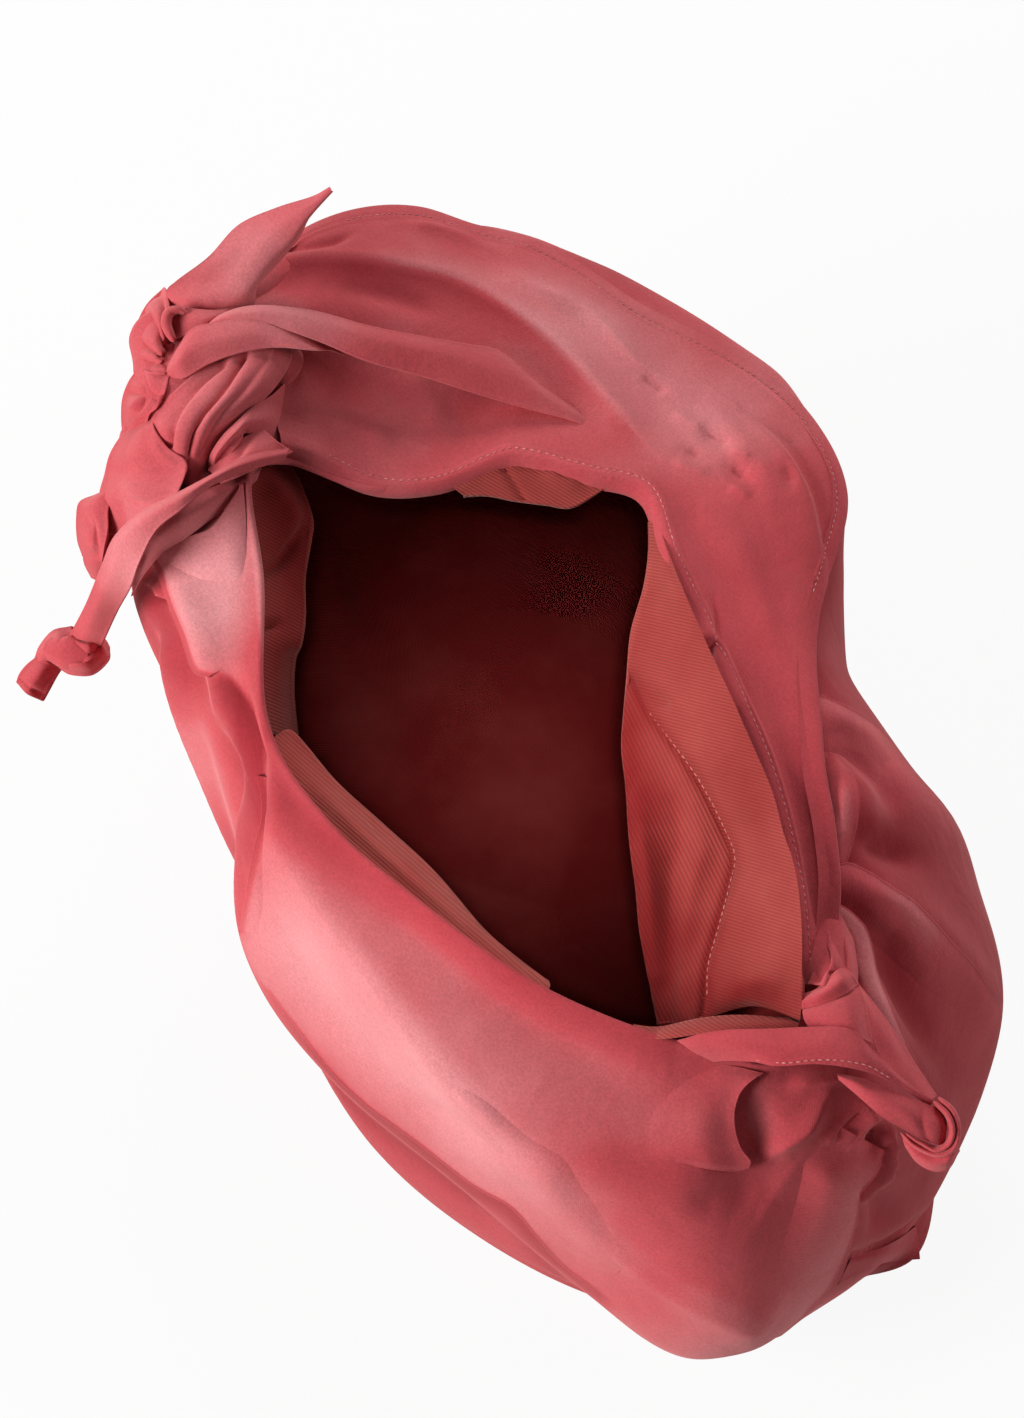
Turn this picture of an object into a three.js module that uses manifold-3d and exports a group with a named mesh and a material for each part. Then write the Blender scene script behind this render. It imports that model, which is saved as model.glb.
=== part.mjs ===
// A furoshiki bag: a lined cloth pouch gathered and tied at both ends, with a wide handle band that
// has fallen back over its far shoulder. Millimetres, Z up, standing on its base with the mouth up.
// The right knot is at +X, the left knot at -X, the handle band lies towards +Y.
import * as THREE from 'three';
import { mergeVertices } from 'three/addons/utils/BufferGeometryUtils.js';
import Module from 'manifold-3d';

const wasm = await Module();
wasm.setup();

// Driving dimensions of the pouch, level by level. The rim's height carries the levels below it.
const RIM_HEIGHT = 214;
const SHOULDER_DROP = 7;
const BELLY_DROP = 92;
const SHOULDER_HEIGHT = RIM_HEIGHT - SHOULDER_DROP;
const BELLY_HEIGHT = RIM_HEIGHT - BELLY_DROP;
const FOOT_LENGTH = 404;
const FOOT_DEPTH = 248;
const BELLY_LENGTH = 467;
const BELLY_DEPTH = 313;
const SHOULDER_LENGTH = 443;
const SHOULDER_DEPTH = 294;
const MOUTH_LENGTH = 313;
const MOUTH_DEPTH = 189;
const FLOOR_TUCK = 0.86;
const RIM_EVENNESS = 0.8;

// Cloth thicknesses and the clearance between layers that touch
const CLOTH = 1.2;
const LINING = 0.8;
const BAND_CLOTH = 1.6;
const CLEARANCE = 0.35;
const BAND_SEAT = 1.4;

// The lining's facing that sags into the mouth, and the smaller one behind the front rim
const BACK_SAG = 80;
const FRONT_SAG = 26;

// Knots and ties: the places of their turns are drawn for a left knot 108 mm long and follow its length.
const KNOT_LENGTH = 108;
const KNOT_STRETCH = KNOT_LENGTH / 108;
const LEFT_KNOT_STANDOFF = 18;
const PLEAT_RADIUS = 10;
const PLEAT_SPACING = 11;
const LOBE_RADIUS = 15;
const TURN_RADIUS = 10;
const CORE_RADIUS = 14;
const TAIL_LENGTH = 80;
const TAIL_STRETCH = TAIL_LENGTH / 80;
const TAIL_WIDTH = 38;
const STRAP_WIDTH = 13;
const STRAP_THICKNESS = 3.2;
const STOPPER_RADIUS = 7;
const RIGHT_KNOT_RADIUS = 13;
const RIGHT_TIE_WIDTH = 12;
const RIGHT_TIE_THICKNESS = 2.6;
const ROLL_RADIUS = 5.5;

// Mesh fineness
const STATIONS = 20;
const COLUMNS = 72;
const ROW_LEVELS = [0, 0.33, 0.67, 1, 1.25, 1.5, 1.75, 2, 2.25, 2.5, 2.75, 3];
const BASE_RINGS = 1;
const FOLD_SAMPLES = 24;
const SLIVER = 0.02;

// Outlines of the pouch, drawn counter-clockwise from the right end, one point per station.
const footDrawn = [
  [203, 0], [208, 48], [145, 98], [85, 112], [25, 122],
  [-35, 128], [-90, 127], [-140, 115], [-175, 90], [-196, 50],
  [-190, 0], [-165, -52], [-122, -85], [-80, -98], [-40, -108],
  [5, -118], [60, -120], [115, -105], [165, -78], [195, -42],
].map(([x, y]) => [x, y, 0]);
const bellyDrawn = [
  [233, -25, 62], [210, 60, 48], [160, 124, 66], [98, 139, 86], [32, 138, 98],
  [-35, 158, 98], [-105, 162, 95], [-165, 146, 95], [-212, 112, 95], [-234, 60, 95],
  [-226, 0, 95], [-196, -60, 95], [-146, -110, 98], [-100, -120, 95], [-50, -131, 100],
  [0, -151, 122], [50, -142, 108], [110, -118, 92], [172, -95, 68], [222, -68, 60],
];
const shoulderDrawn = [
  [203, -12, 148], [190, 35, 150], [138, 68, 165], [85, 92, 180], [22, 118, 182],
  [-35, 148, 175], [-105, 156, 169], [-165, 138, 176], [-215, 108, 183], [-240, 62, 188],
  [-230, 0, 199], [-205, -60, 207], [-166, -108, 198], [-112, -116, 190], [-52, -125, 182],
  [0, -138, 168], [55, -128, 158], [112, -108, 148], [168, -76, 145], [198, -42, 144],
];
const rimDrawn = [
  [173, -8, 172], [163, 12, 176], [124, 35, 190], [73, 53, 198], [20, 63, 200],
  [-30, 72, 199], [-62, 77, 197], [-85, 62, 200], [-107, 38, 203], [-116, 10, 204],
  [-118, -20, 207], [-140, -48, 214], [-138, -68, 214], [-100, -84, 208], [-45, -112, 197],
  [5, -110, 193], [45, -96, 189], [92, -76, 185], [137, -44, 180], [160, -22, 175],
];

// Stretches a drawn outline to the length, depth and height of its level.
function level(drawn, length, depth, height) {
  const points = drawn.map((p) => new THREE.Vector3(...p));
  const box = new THREE.Box3().setFromPoints(points);
  const rise = box.max.z > 0 ? height / box.max.z : 1;
  const stretch = new THREE.Vector3(length / (box.max.x - box.min.x), depth / (box.max.y - box.min.y), rise);
  return new THREE.CatmullRomCurve3(points.map((p) => p.multiply(stretch)), true);
}

const foot = level(footDrawn, FOOT_LENGTH, FOOT_DEPTH, 0);
const belly = level(bellyDrawn, BELLY_LENGTH, BELLY_DEPTH, BELLY_HEIGHT);
const shoulder = level(shoulderDrawn, SHOULDER_LENGTH, SHOULDER_DEPTH, SHOULDER_HEIGHT);
const rim = level(rimDrawn, MOUTH_LENGTH, MOUTH_DEPTH, RIM_HEIGHT);

// A place on the smooth pouch: station 0 to 20 around, level 0 (foot), 1 (belly), 2 (shoulder), 3 (rim).
function wallCurve(station) {
  const turn = (((station / STATIONS) % 1) + 1) % 1;
  const ground = foot.getPoint(turn);
  const under = ground.clone().multiplyScalar(FLOOR_TUCK);
  const above = [belly, shoulder, rim].map((outline) => outline.getPoint(turn));
  return new THREE.CatmullRomCurve3([under, ground, ...above]);
}

function smoothPoint(station, height) {
  return wallCurve(station).getPoint((height + 1) / 4);
}

function smoothNormal(station, height) {
  const step = 0.02;
  const top = Math.min(height + step, 3);
  const along = smoothPoint(station + step, height).sub(smoothPoint(station - step, height));
  const up = smoothPoint(station, top).sub(smoothPoint(station, top - 2 * step));
  return along.cross(up).normalize();
}

// Folds of the pouch: each is a ridge along a path of [station, level] places, with its height and
// its width to the left and to the right of the path. A negative height is a valley.
const pouchFolds = [
  {
    path: [[14.2, 2.9], [15.6, 2.6], [17.4, 2.2], [18.9, 1.7], [19.6, 1.2]],
    height: 10,
    left: 26,
    right: 20,
  },
  { path: [[19.4, 2.8], [19.1, 2.5], [19.3, 2.1], [19.7, 1.9]], height: -13, left: 14, right: 14 },
  { path: [[18.7, 2.7], [18.7, 2.3], [19.0, 1.9]], height: 10, left: 15, right: 13 },
  { path: [[14.6, 0.45], [16.0, 0.5], [17.4, 0.5], [18.4, 0.4]], height: -13, left: 22, right: 26 },
  { path: [[12.0, 2.05], [13.0, 2.05], [14.1, 2.1]], height: 6, left: 10, right: 11 },
  { path: [[12.9, 1.8], [13.2, 1.2], [13.6, 0.4]], height: 12, left: 14, right: 16 },
  { path: [[12.2, 1.7], [12.3, 1.0], [12.4, 0.3]], height: 11, left: 14, right: 15 },
  { path: [[13.9, 1.9], [14.2, 1.3], [14.4, 0.6]], height: -11, left: 14, right: 12 },
  { path: [[2.0, 2.4], [2.1, 1.9], [1.8, 1.2]], height: 12, left: 13, right: 15 },
  { path: [[2.6, 2.3], [2.9, 1.9], [3.0, 1.3], [2.9, 0.7]], height: 11, left: 14, right: 16 },
  { path: [[1.4, 2.3], [1.3, 1.7], [0.9, 1.0]], height: 11, left: 13, right: 14 },
  { path: [[3.6, 2.0], [4.0, 1.5], [4.2, 0.8]], height: 6, left: 14, right: 18 },
  { path: [[4.8, 1.7], [5.0, 1.1], [5.0, 0.4]], height: -9, left: 16, right: 16 },
  { path: [[6.0, 1.8], [5.9, 1.2], [6.0, 0.4]], height: 9, left: 16, right: 20 },
  { path: [[7.6, 1.8], [7.5, 1.1], [7.6, 0.3]], height: -11, left: 16, right: 14 },
  { path: [[8.4, 1.8], [8.4, 1.1], [8.3, 0.4]], height: 8, left: 15, right: 15 },
  { path: [[9.6, 1.8], [9.5, 1.0], [9.4, 0.3]], height: -10, left: 16, right: 16 },
  { path: [[10.6, 2.0], [10.3, 1.3], [10.2, 0.4]], height: 11, left: 15, right: 18 },
  { path: [[11.4, 1.9], [11.3, 1.2], [11.3, 0.4]], height: -9, left: 14, right: 14 },
  { path: [[0.4, 1.6], [0.6, 1.0], [0.9, 0.3]], height: 9, left: 15, right: 15 },
];

// The folds of the handle band run from the left knot and fan out over the back shoulder.
const bandFolds = [
  { path: [[10.9, 2.6], [10.2, 2.66], [9.2, 2.72], [7.8, 2.78]], height: 11, left: 9, right: 15 },
  { path: [[10.9, 2.45], [9.9, 2.4], [8.9, 2.4], [7.2, 2.5]], height: 10, left: 9, right: 15 },
  { path: [[10.8, 2.3], [9.7, 2.15], [8.6, 2.12], [6.8, 2.2]], height: 9, left: 9, right: 14 },
  { path: [[5.8, 2.1], [4.8, 2.15], [3.6, 2.4]], height: 6, left: 10, right: 14 },
  { path: [[3.6, 2.75], [2.7, 2.74], [1.9, 2.7]], height: 5, left: 9, right: 10 },
];

// Samples a fold's path on the smooth pouch once, so that the distance to it can be measured.
function tracedFold({ path, height, left, right }) {
  const route = new THREE.CatmullRomCurve3(path.map(([station, up]) => new THREE.Vector3(station, up, 0)));
  const places = route.getPoints(FOLD_SAMPLES);
  const points = places.map((p) => smoothPoint(p.x, Math.min(p.y, 3)));
  return { points, height, left, right };
}

// How far a fold lifts the cloth at a point: most on its path, nothing at the path's two ends.
function foldLift(fold, point, normal) {
  let nearest = 0;
  fold.points.forEach((p, i) => {
    if (p.distanceToSquared(point) < fold.points[nearest].distanceToSquared(point)) {
      nearest = i;
    }
  });
  const before = fold.points[Math.max(nearest - 1, 0)];
  const after = fold.points[Math.min(nearest + 1, FOLD_SAMPLES)];
  const side = after.clone().sub(before).cross(normal).normalize();
  const away = point.clone().sub(fold.points[nearest]);
  const width = away.dot(side) > 0 ? fold.right : fold.left;
  const fade = Math.sqrt(Math.sin((Math.PI * (nearest + 0.5)) / (FOLD_SAMPLES + 1)));
  return fold.height * fade * Math.exp(-away.lengthSq() / (width * width));
}

function liftAt(folds, point, normal) {
  return folds.reduce((sum, fold) => sum + foldLift(fold, point, normal), 0);
}

const tracedPouchFolds = pouchFolds.map(tracedFold);
const tracedBandFolds = bandFolds.map(tracedFold);

// The pouch's folds grow flat towards the rim, which its hem keeps even.
function pouchLift(point, normal, height) {
  const flat = RIM_EVENNESS * THREE.MathUtils.smoothstep(height, 2.4, 3);
  return liftAt(tracedPouchFolds, point, normal) * (1 - flat);
}

// A place on the folded pouch, lifted off its outer face by a standoff.
function onPouch(station, height, standoff = 0) {
  const point = smoothPoint(station, height);
  const normal = smoothNormal(station, height);
  return point.addScaledVector(normal, pouchLift(point.clone(), normal, height) + standoff);
}

const columnStations = [...Array(COLUMNS).keys()].map((c) => (c * STATIONS) / COLUMNS);

// The pouch's outer face as rows of points, from the rings of its flat base up to the rim.
function pouchRows() {
  const rows = [];
  for (let ring = 1; ring <= BASE_RINGS; ring += 1) {
    const share = ring / (BASE_RINGS + 1);
    rows.push(columnStations.map((station) => smoothPoint(station, 0).multiplyScalar(share)));
  }
  rows.push(columnStations.map((station) => smoothPoint(station, 0)));
  for (const height of ROW_LEVELS.slice(1)) {
    rows.push(columnStations.map((station) => onPouch(station, height)));
  }
  return rows;
}

// The outward direction at each point of closed rows.
function rowNormals(rows) {
  const down = new THREE.Vector3(0, 0, -1);
  return rows.map((row, r) => row.map((point, c) => {
    if (r < BASE_RINGS) {
      return down;
    }
    const along = row[(c + 1) % row.length].clone().sub(row[(c + row.length - 1) % row.length]);
    const up = rows[Math.min(r + 1, rows.length - 1)][c].clone().sub(rows[r - 1][c]);
    return along.cross(up).normalize();
  }));
}

function offsetRows(rows, normals, distance) {
  return rows.map((row, r) => row.map((point, c) => point.clone().addScaledVector(normals[r][c], distance)));
}

// Makes a geometry from points and triangles of point numbers.
function geometryOf(points, triangles) {
  const geometry = new THREE.BufferGeometry();
  geometry.setAttribute('position', new THREE.Float32BufferAttribute(points.flatMap((p) => p.toArray()), 3));
  geometry.setIndex(triangles);
  return geometry;
}

// A bowl with a wall: the outer rows, the inner rows turned round, the rim between them and both base discs.
function bowl(outer, inner) {
  const columns = outer[0].length;
  const rows = outer.length;
  const points = [...outer.flat(), ...inner.flat()];
  const triangles = [];
  const innerStart = rows * columns;
  const quad = (a, b, c, d, turned) => triangles.push(...(turned ? [a, c, b, a, d, c] : [a, b, c, a, c, d]));
  for (const [start, turned] of [[0, false], [innerStart, true]]) {
    for (let r = 0; r < rows - 1; r += 1) {
      for (let c = 0; c < columns; c += 1) {
        const next = (c + 1) % columns;
        const here = start + r * columns;
        quad(here + c, here + next, here + columns + next, here + columns + c, turned);
      }
    }
    const middle = points.length;
    points.push(new THREE.Vector3(0, 0, points[start].z));
    for (let c = 0; c < columns; c += 1) {
      const edge = [start + ((c + 1) % columns), start + c];
      triangles.push(middle, ...(turned ? edge.reverse() : edge));
    }
  }
  const top = (rows - 1) * columns;
  for (let c = 0; c < columns; c += 1) {
    const next = (c + 1) % columns;
    quad(top + c, top + next, innerStart + top + next, innerStart + top + c, false);
  }
  return geometryOf(points, triangles);
}

// A sheet with a thickness: its upper and lower rows and the four edges between them.
function sheet(upper, lower) {
  const columns = upper[0].length;
  const rows = upper.length;
  const points = [...upper.flat(), ...lower.flat()];
  const triangles = [];
  const below = rows * columns;
  const quad = (a, b, c, d) => triangles.push(a, b, c, a, c, d);
  for (let r = 0; r < rows - 1; r += 1) {
    for (let c = 0; c < columns - 1; c += 1) {
      const a = r * columns + c;
      quad(a, a + 1, a + columns + 1, a + columns);
      quad(below + a + columns, below + a + columns + 1, below + a + 1, below + a);
    }
  }
  for (let c = 0; c < columns - 1; c += 1) {
    const last = (rows - 1) * columns + c;
    quad(below + c, below + c + 1, c + 1, c);
    quad(last, last + 1, below + last + 1, below + last);
  }
  for (let r = 0; r < rows - 1; r += 1) {
    const start = r * columns;
    const end = start + columns - 1;
    quad(start, start + columns, below + start + columns, below + start);
    quad(end + columns, end, below + end, below + end + columns);
  }
  return geometryOf(points, triangles);
}

// A rounded strip swept along points: its half width lies across the path, its half height along up.
function sweep(path, halfWidths, halfHeights, up, sides = 8, stepsPerPoint = 3) {
  const curve = new THREE.CatmullRomCurve3(path);
  const steps = (path.length - 1) * stepsPerPoint;
  const points = [];
  const triangles = [];
  const between = (list, share) => {
    const place = share * (list.length - 1);
    const low = Math.min(Math.floor(place), list.length - 2);
    return THREE.MathUtils.lerp(list[low], list[low + 1], place - low);
  };
  for (let i = 0; i <= steps; i += 1) {
    const share = i / steps;
    const centre = curve.getPoint(share);
    const ahead = curve.getTangent(share);
    const across = ahead.clone().cross(up).normalize();
    const over = across.clone().cross(ahead).normalize();
    for (let k = 0; k < sides; k += 1) {
      const angle = (2 * Math.PI * k) / sides;
      points.push(centre.clone()
        .addScaledVector(across, between(halfWidths, share) * Math.cos(angle))
        .addScaledVector(over, between(halfHeights, share) * Math.sin(angle)));
    }
  }
  for (let i = 0; i < steps; i += 1) {
    for (let k = 0; k < sides; k += 1) {
      const a = i * sides + k;
      const b = i * sides + ((k + 1) % sides);
      triangles.push(a, b + sides, b, a, a + sides, b + sides);
    }
  }
  for (let k = 1; k < sides - 1; k += 1) {
    const last = steps * sides;
    triangles.push(0, k, k + 1, last, last + k + 1, last + k);
  }
  return geometryOf(points, triangles);
}

// Joining and cutting
function solid(geometry) {
  const merged = mergeVertices(geometry);
  return new wasm.Manifold(new wasm.Mesh({
    numProp: 3,
    vertProperties: new Float32Array(merged.attributes.position.array),
    triVerts: new Uint32Array(merged.index.array),
  }));
}

function joined(geometries) {
  return geometries.map(solid).reduce((whole, piece) => whole.add(piece));
}

// The largest separate piece of a solid, as a geometry.
function largest(body) {
  const pieces = body.decompose();
  const main = pieces.reduce((best, piece) => (piece.volume() > best.volume() ? piece : best));
  const mesh = main.simplify(SLIVER).getMesh();
  const geometry = new THREE.BufferGeometry();
  geometry.setAttribute('position', new THREE.Float32BufferAttribute(mesh.vertProperties, 3));
  geometry.setIndex(new THREE.Uint32BufferAttribute(mesh.triVerts, 1));
  return geometry;
}

const outerRows = pouchRows();
const outerNormals = rowNormals(outerRows);
const UP = new THREE.Vector3(0, 0, 1);
const ACROSS = new THREE.Vector3(1, 0, 0);

function makeOuterCloth() {
  return bowl(outerRows, offsetRows(outerRows, outerNormals, -CLOTH));
}

// The sagging facing: how far the lining hangs into the mouth at a station and level.
function sag(station, height) {
  const rise = THREE.MathUtils.smoothstep;
  const fall = rise(height, 1.3, 2.35) * (1 - rise(height, 2.35, 3));
  const back = rise(station, 0.1, 1.4) * (1 - rise(station, 4.8, 6.0)) * BACK_SAG;
  const front = rise(station, 14.2, 15.2) * (1 - rise(station, 16.4, 17.6)) * FRONT_SAG;
  const inwards = new THREE.Vector3(-0.15, -0.92, -0.36).multiplyScalar(back);
  return inwards.addScaledVector(new THREE.Vector3(0.1, 0.9, -0.42), front).multiplyScalar(fall);
}

function makeLining() {
  const lowered = (depth) => offsetRows(outerRows, outerNormals, -depth).slice(0, -1).map((row, r) => {
    const height = r < BASE_RINGS ? 0 : ROW_LEVELS[r - BASE_RINGS];
    return row.map((point, c) => point.add(sag(columnStations[c], height)));
  });
  return bowl(lowered(CLOTH + CLEARANCE), lowered(CLOTH + CLEARANCE + LINING));
}

// The places where the two knots sit on the pouch
const leftTie = onPouch(11.2, 2.45, LEFT_KNOT_STANDOFF);
const rightTie = onPouch(0.9, 2.7, RIGHT_KNOT_RADIUS);

// Places near an anchor, by offsets that follow the size of the knots.
function near(anchor, offsets) {
  return offsets.map((offset) => anchor.clone().addScaledVector(new THREE.Vector3(...offset), KNOT_STRETCH));
}

// The handle band: a hemmed strip that hugs the pouch from the right knot over the back to the left knot.
const BAND_COLUMNS = 36;
const BAND_ROWS = 9;
const BAND_START = 1.3;
const BAND_END = 11.0;
const BAND_INNER_EDGE = 2.96;
const BAND_GATHER = 34;
const bandOuterEdge = new THREE.CatmullRomCurve3([
  [1.3, 2.5], [2.6, 2.4], [4.0, 2.0], [5.5, 1.95], [7.5, 1.95], [9.2, 2.0], [11.0, 2.2],
].map(([station, height]) => new THREE.Vector3(station, height, 0)));

function bandRows(standoff) {
  const rows = [];
  for (let r = 0; r <= BAND_ROWS; r += 1) {
    const row = [];
    for (let c = 0; c <= BAND_COLUMNS; c += 1) {
      const share = c / BAND_COLUMNS;
      const station = THREE.MathUtils.lerp(BAND_START, BAND_END, share);
      const low = bandOuterEdge.getPoint(share).y;
      const across = r / BAND_ROWS;
      const height = THREE.MathUtils.lerp(low, BAND_INNER_EDGE, across);
      const point = smoothPoint(station, height);
      const normal = smoothNormal(station, height);
      const cloth = Math.max(pouchLift(point, normal, height), 0);
      const lift = cloth + liftAt(tracedBandFolds, point, normal) + BAND_SEAT + standoff;
      const knotShare = THREE.MathUtils.smoothstep(station, 9.2, BAND_END);
      point.addScaledVector(normal, lift);
      const fan = (across - 0.5) * BAND_GATHER;
      const [knot] = near(leftTie, [[-8, 20, 0]]);
      knot.add(new THREE.Vector3(0.6 * fan, -0.8 * fan, standoff));
      row.push(point.lerp(knot, knotShare));
    }
    rows.push(row);
  }
  return rows;
}

function makeHandleBand() {
  const cuts = [leftKnotPieces(CLEARANCE), rightKnotPieces(CLEARANCE), rightTiePieces(CLEARANCE)].map(joined);
  const strip = solid(sheet(bandRows(BAND_CLOTH), bandRows(0)));
  return largest(cuts.reduce((whole, cut) => whole.subtract(cut), strip));
}

// The left knot: three pleated turns over a rounded core, a turn at the back, hanging lobes
// and a pointed tail.
function leftKnotPieces(extra) {
  const fat = (shares, radius) => shares.map((share) => share * radius + extra);
  const pleats = [-1, 0, 1].map((k) => {
    const shift = new THREE.Vector3(k * PLEAT_SPACING, 0, -2 * Math.abs(k));
    const path = near(leftTie, [[-8, 30, -10], [1, 10, 2], [9, -10, 6], [12, -24, 0], [13, -30, -10]]);
    const radii = fat([0.6, 0.95, 1, 0.95, 0.6], PLEAT_RADIUS);
    return sweep(path.map((p) => p.add(shift)), radii, radii, ACROSS);
  });
  const strand = (offsets, radius) => {
    const radii = fat(offsets.map((_, i) => (i === offsets.length - 1 ? 0.7 : 1)), radius);
    return sweep(near(leftTie, offsets), radii, radii, UP);
  };
  const tailPath = [[-35, 4, 6], [-37, 18, 17], [-39, 34, 26], [-40, 53, 35], [-42, 76, 42]]
    .map(([x, y, z]) => [x, y * TAIL_STRETCH, z]);
  const tailHalf = fat([0.36, 0.5, 0.46, 0.3, 0.03], TAIL_WIDTH);
  return [
    ...pleats,
    strand([[-42, 8, 0], [-40, -4, 0], [-30, -12, 0], [-14, -10, 2]], TURN_RADIUS),
    strand([[-12, -14, -12], [-17, -25, -14], [-12, -34, -18], [-4, -38, -26]], LOBE_RADIUS * 0.75),
    strand([[4, -14, -14], [0, -32, -18], [0, -44, -26], [6, -48, -36]], LOBE_RADIUS),
    strand([[14, -26, -28], [12, -44, -34], [11, -56, -44], [14, -60, -56]], LOBE_RADIUS),
    strand([[-30, 10, -8], [-16, 0, -6], [4, -12, -8]], CORE_RADIUS),
    sweep(near(leftTie, tailPath), tailHalf, fat([5, 3, 2.2, 2, 1], 1), UP),
  ];
}

// The pouch grown by the clearance, for cutting what sits on it.
function grownPouch() {
  const grown = offsetRows(outerRows, outerNormals, CLEARANCE);
  return solid(bowl(grown, offsetRows(outerRows, outerNormals, -CLOTH - CLEARANCE)));
}

function makeLeftKnot() {
  return largest(joined(leftKnotPieces(0)).subtract(grownPouch()));
}

// The narrow tie: a folded strip from the left knot down over the side, ending in a stopper knot.
function makeTieStrap() {
  const path = near(leftTie, [
    [24, 2, -8], [29, -10, -9], [32, -27, -15], [33, -45, -25],
    [33, -62, -41], [29, -77, -66], [23, -86, -90],
  ]);
  const outwards = smoothNormal(12.4, 2.1);
  const end = path[path.length - 1];
  const half = path.map(() => STRAP_WIDTH / 2);
  const thin = path.map(() => STRAP_THICKNESS / 2);
  const turn = near(end, [[-9, 1, 4], [-2, 1, 6], [6, 0, 2], [8, -2, -6]]);
  const wrap = near(end, [[9, 1, 4], [3, -3, 1], [-5, -4, -5]]);
  const stub = near(end, [[0, 0, 0], [-2, -10, -9], [-4, -20, -18]]);
  const stubHalf = [0.6, 0.8, 1.1].map((share) => (share * STRAP_WIDTH) / 2);
  const round = (list) => list.map((_, i) => STOPPER_RADIUS * (i === 0 || i === list.length - 1 ? 0.7 : 1));
  const pieces = [
    sweep(path, half, thin, outwards, 8, 3),
    sweep(turn, round(turn), round(turn), outwards),
    sweep(wrap, round(wrap), round(wrap), outwards),
    sweep(stub, stubHalf, stub.map(() => STRAP_THICKNESS), outwards, 8, 2),
  ];
  return largest(joined(pieces).subtract(joined(leftKnotPieces(CLEARANCE))).subtract(grownPouch()));
}

// The right knot: a gathered end with one wrapped turn across it.
function rightKnotPieces(extra) {
  const fat = (values) => values.map((value) => value * RIGHT_KNOT_RADIUS + extra);
  const body = near(rightTie, [[-24, -2, 4], [-8, 0, 2], [8, 4, -4], [22, 8, -14]]);
  const wrap = near(rightTie, [[-8, -18, -6], [-4, -8, 9], [2, 6, 10], [6, 20, -4]]);
  return [
    sweep(body, fat([0.7, 1.1, 1.05, 0.6]), fat([0.6, 0.9, 0.9, 0.5]), UP),
    sweep(wrap, fat([0.5, 0.7, 0.7, 0.5]), fat([0.5, 0.6, 0.6, 0.5]), UP),
  ];
}

function makeRightKnot() {
  return largest(joined(rightKnotPieces(0)).subtract(grownPouch()));
}

// The right tie: a flat strip from the mouth over the knot, rolled up at its end.
function rightTiePieces(extra) {
  const path = [
    onPouch(19.0, 3, 4), ...near(rightTie, [[-14, -14, 17], [4, 2, 18], [20, 12, 8], [34, 18, -8]]),
  ];
  const wide = RIGHT_TIE_WIDTH / 2 + extra;
  const thin = RIGHT_TIE_THICKNESS / 2 + extra;
  const roll = near(path[path.length - 1], [[4, -9, -4], [2, 0, -3], [0, 9, -2]]);
  const round = roll.map(() => ROLL_RADIUS + extra);
  return [
    sweep(path, path.map(() => wide), path.map(() => thin), UP),
    sweep(roll, round, round, UP),
  ];
}

function makeRightTie() {
  const strip = joined(rightTiePieces(0));
  return largest(strip.subtract(joined(rightKnotPieces(CLEARANCE))).subtract(grownPouch()));
}

// Finishes: sueded rose cloth outside, coral twill inside
const roseCloth = { color: '#c2656c', roughness: 0.9, metalness: 0 };
const coralTwill = { color: '#b8605a', roughness: 0.85, metalness: 0 };

const bag = new THREE.Group();

function addPiece(name, geometry, finish) {
  const mesh = new THREE.Mesh(geometry, new THREE.MeshStandardMaterial(finish));
  mesh.name = name;
  bag.add(mesh);
}

addPiece('outer_cloth', makeOuterCloth(), roseCloth);
addPiece('lining', makeLining(), coralTwill);
addPiece('handle_band', makeHandleBand(), roseCloth);
addPiece('left_knot', makeLeftKnot(), roseCloth);
addPiece('tie_strap', makeTieStrap(), roseCloth);
addPiece('right_knot', makeRightKnot(), roseCloth);
addPiece('right_tie', makeRightTie(), roseCloth);

export default bag;
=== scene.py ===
"""A furoshiki bag of sueded rose cotton with a coral twill lining, standing open and seen from above.

Lengths in this file are millimetres in the bag's own frame (Z up, right knot at +X) until a mesh is
made, where they become metres. Places read from the photograph are pixels of its 1024 x 1418 frame.
"""
import math

import bpy
import numpy as np
from mathutils import Matrix, Vector
from mathutils.bvhtree import BVHTree


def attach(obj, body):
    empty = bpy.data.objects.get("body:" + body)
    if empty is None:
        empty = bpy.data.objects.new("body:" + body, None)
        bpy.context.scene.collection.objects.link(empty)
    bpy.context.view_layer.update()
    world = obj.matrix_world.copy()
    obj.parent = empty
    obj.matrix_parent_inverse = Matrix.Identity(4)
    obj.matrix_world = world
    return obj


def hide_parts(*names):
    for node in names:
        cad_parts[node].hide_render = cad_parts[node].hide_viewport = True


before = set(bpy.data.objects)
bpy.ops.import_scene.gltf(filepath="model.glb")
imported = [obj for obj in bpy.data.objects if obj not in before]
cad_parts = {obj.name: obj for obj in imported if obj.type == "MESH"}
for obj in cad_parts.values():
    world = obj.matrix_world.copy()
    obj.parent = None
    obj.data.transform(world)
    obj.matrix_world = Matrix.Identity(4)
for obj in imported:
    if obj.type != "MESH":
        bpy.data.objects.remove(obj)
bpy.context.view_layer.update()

scene = bpy.context.scene
MM = 0.001

# The camera: a long lens that looks down on the bag at 60 degrees.
PHOTO_WIDTH = 1024
PHOTO_HEIGHT = 1418
LENS = 90.0
SENSOR = 36.0
AZIMUTH = math.radians(60)
ELEVATION = math.radians(60)
EYE = np.array([612.072, -376.832, 1427.233])
BACK = np.array([
    math.sin(AZIMUTH) * math.cos(ELEVATION),
    -math.cos(AZIMUTH) * math.cos(ELEVATION),
    math.sin(ELEVATION),
])
RIGHT = np.array([math.cos(AZIMUTH), math.sin(AZIMUTH), 0.0])
UP = np.cross(BACK, RIGHT)
FOCAL = LENS / SENSOR * PHOTO_HEIGHT


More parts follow.
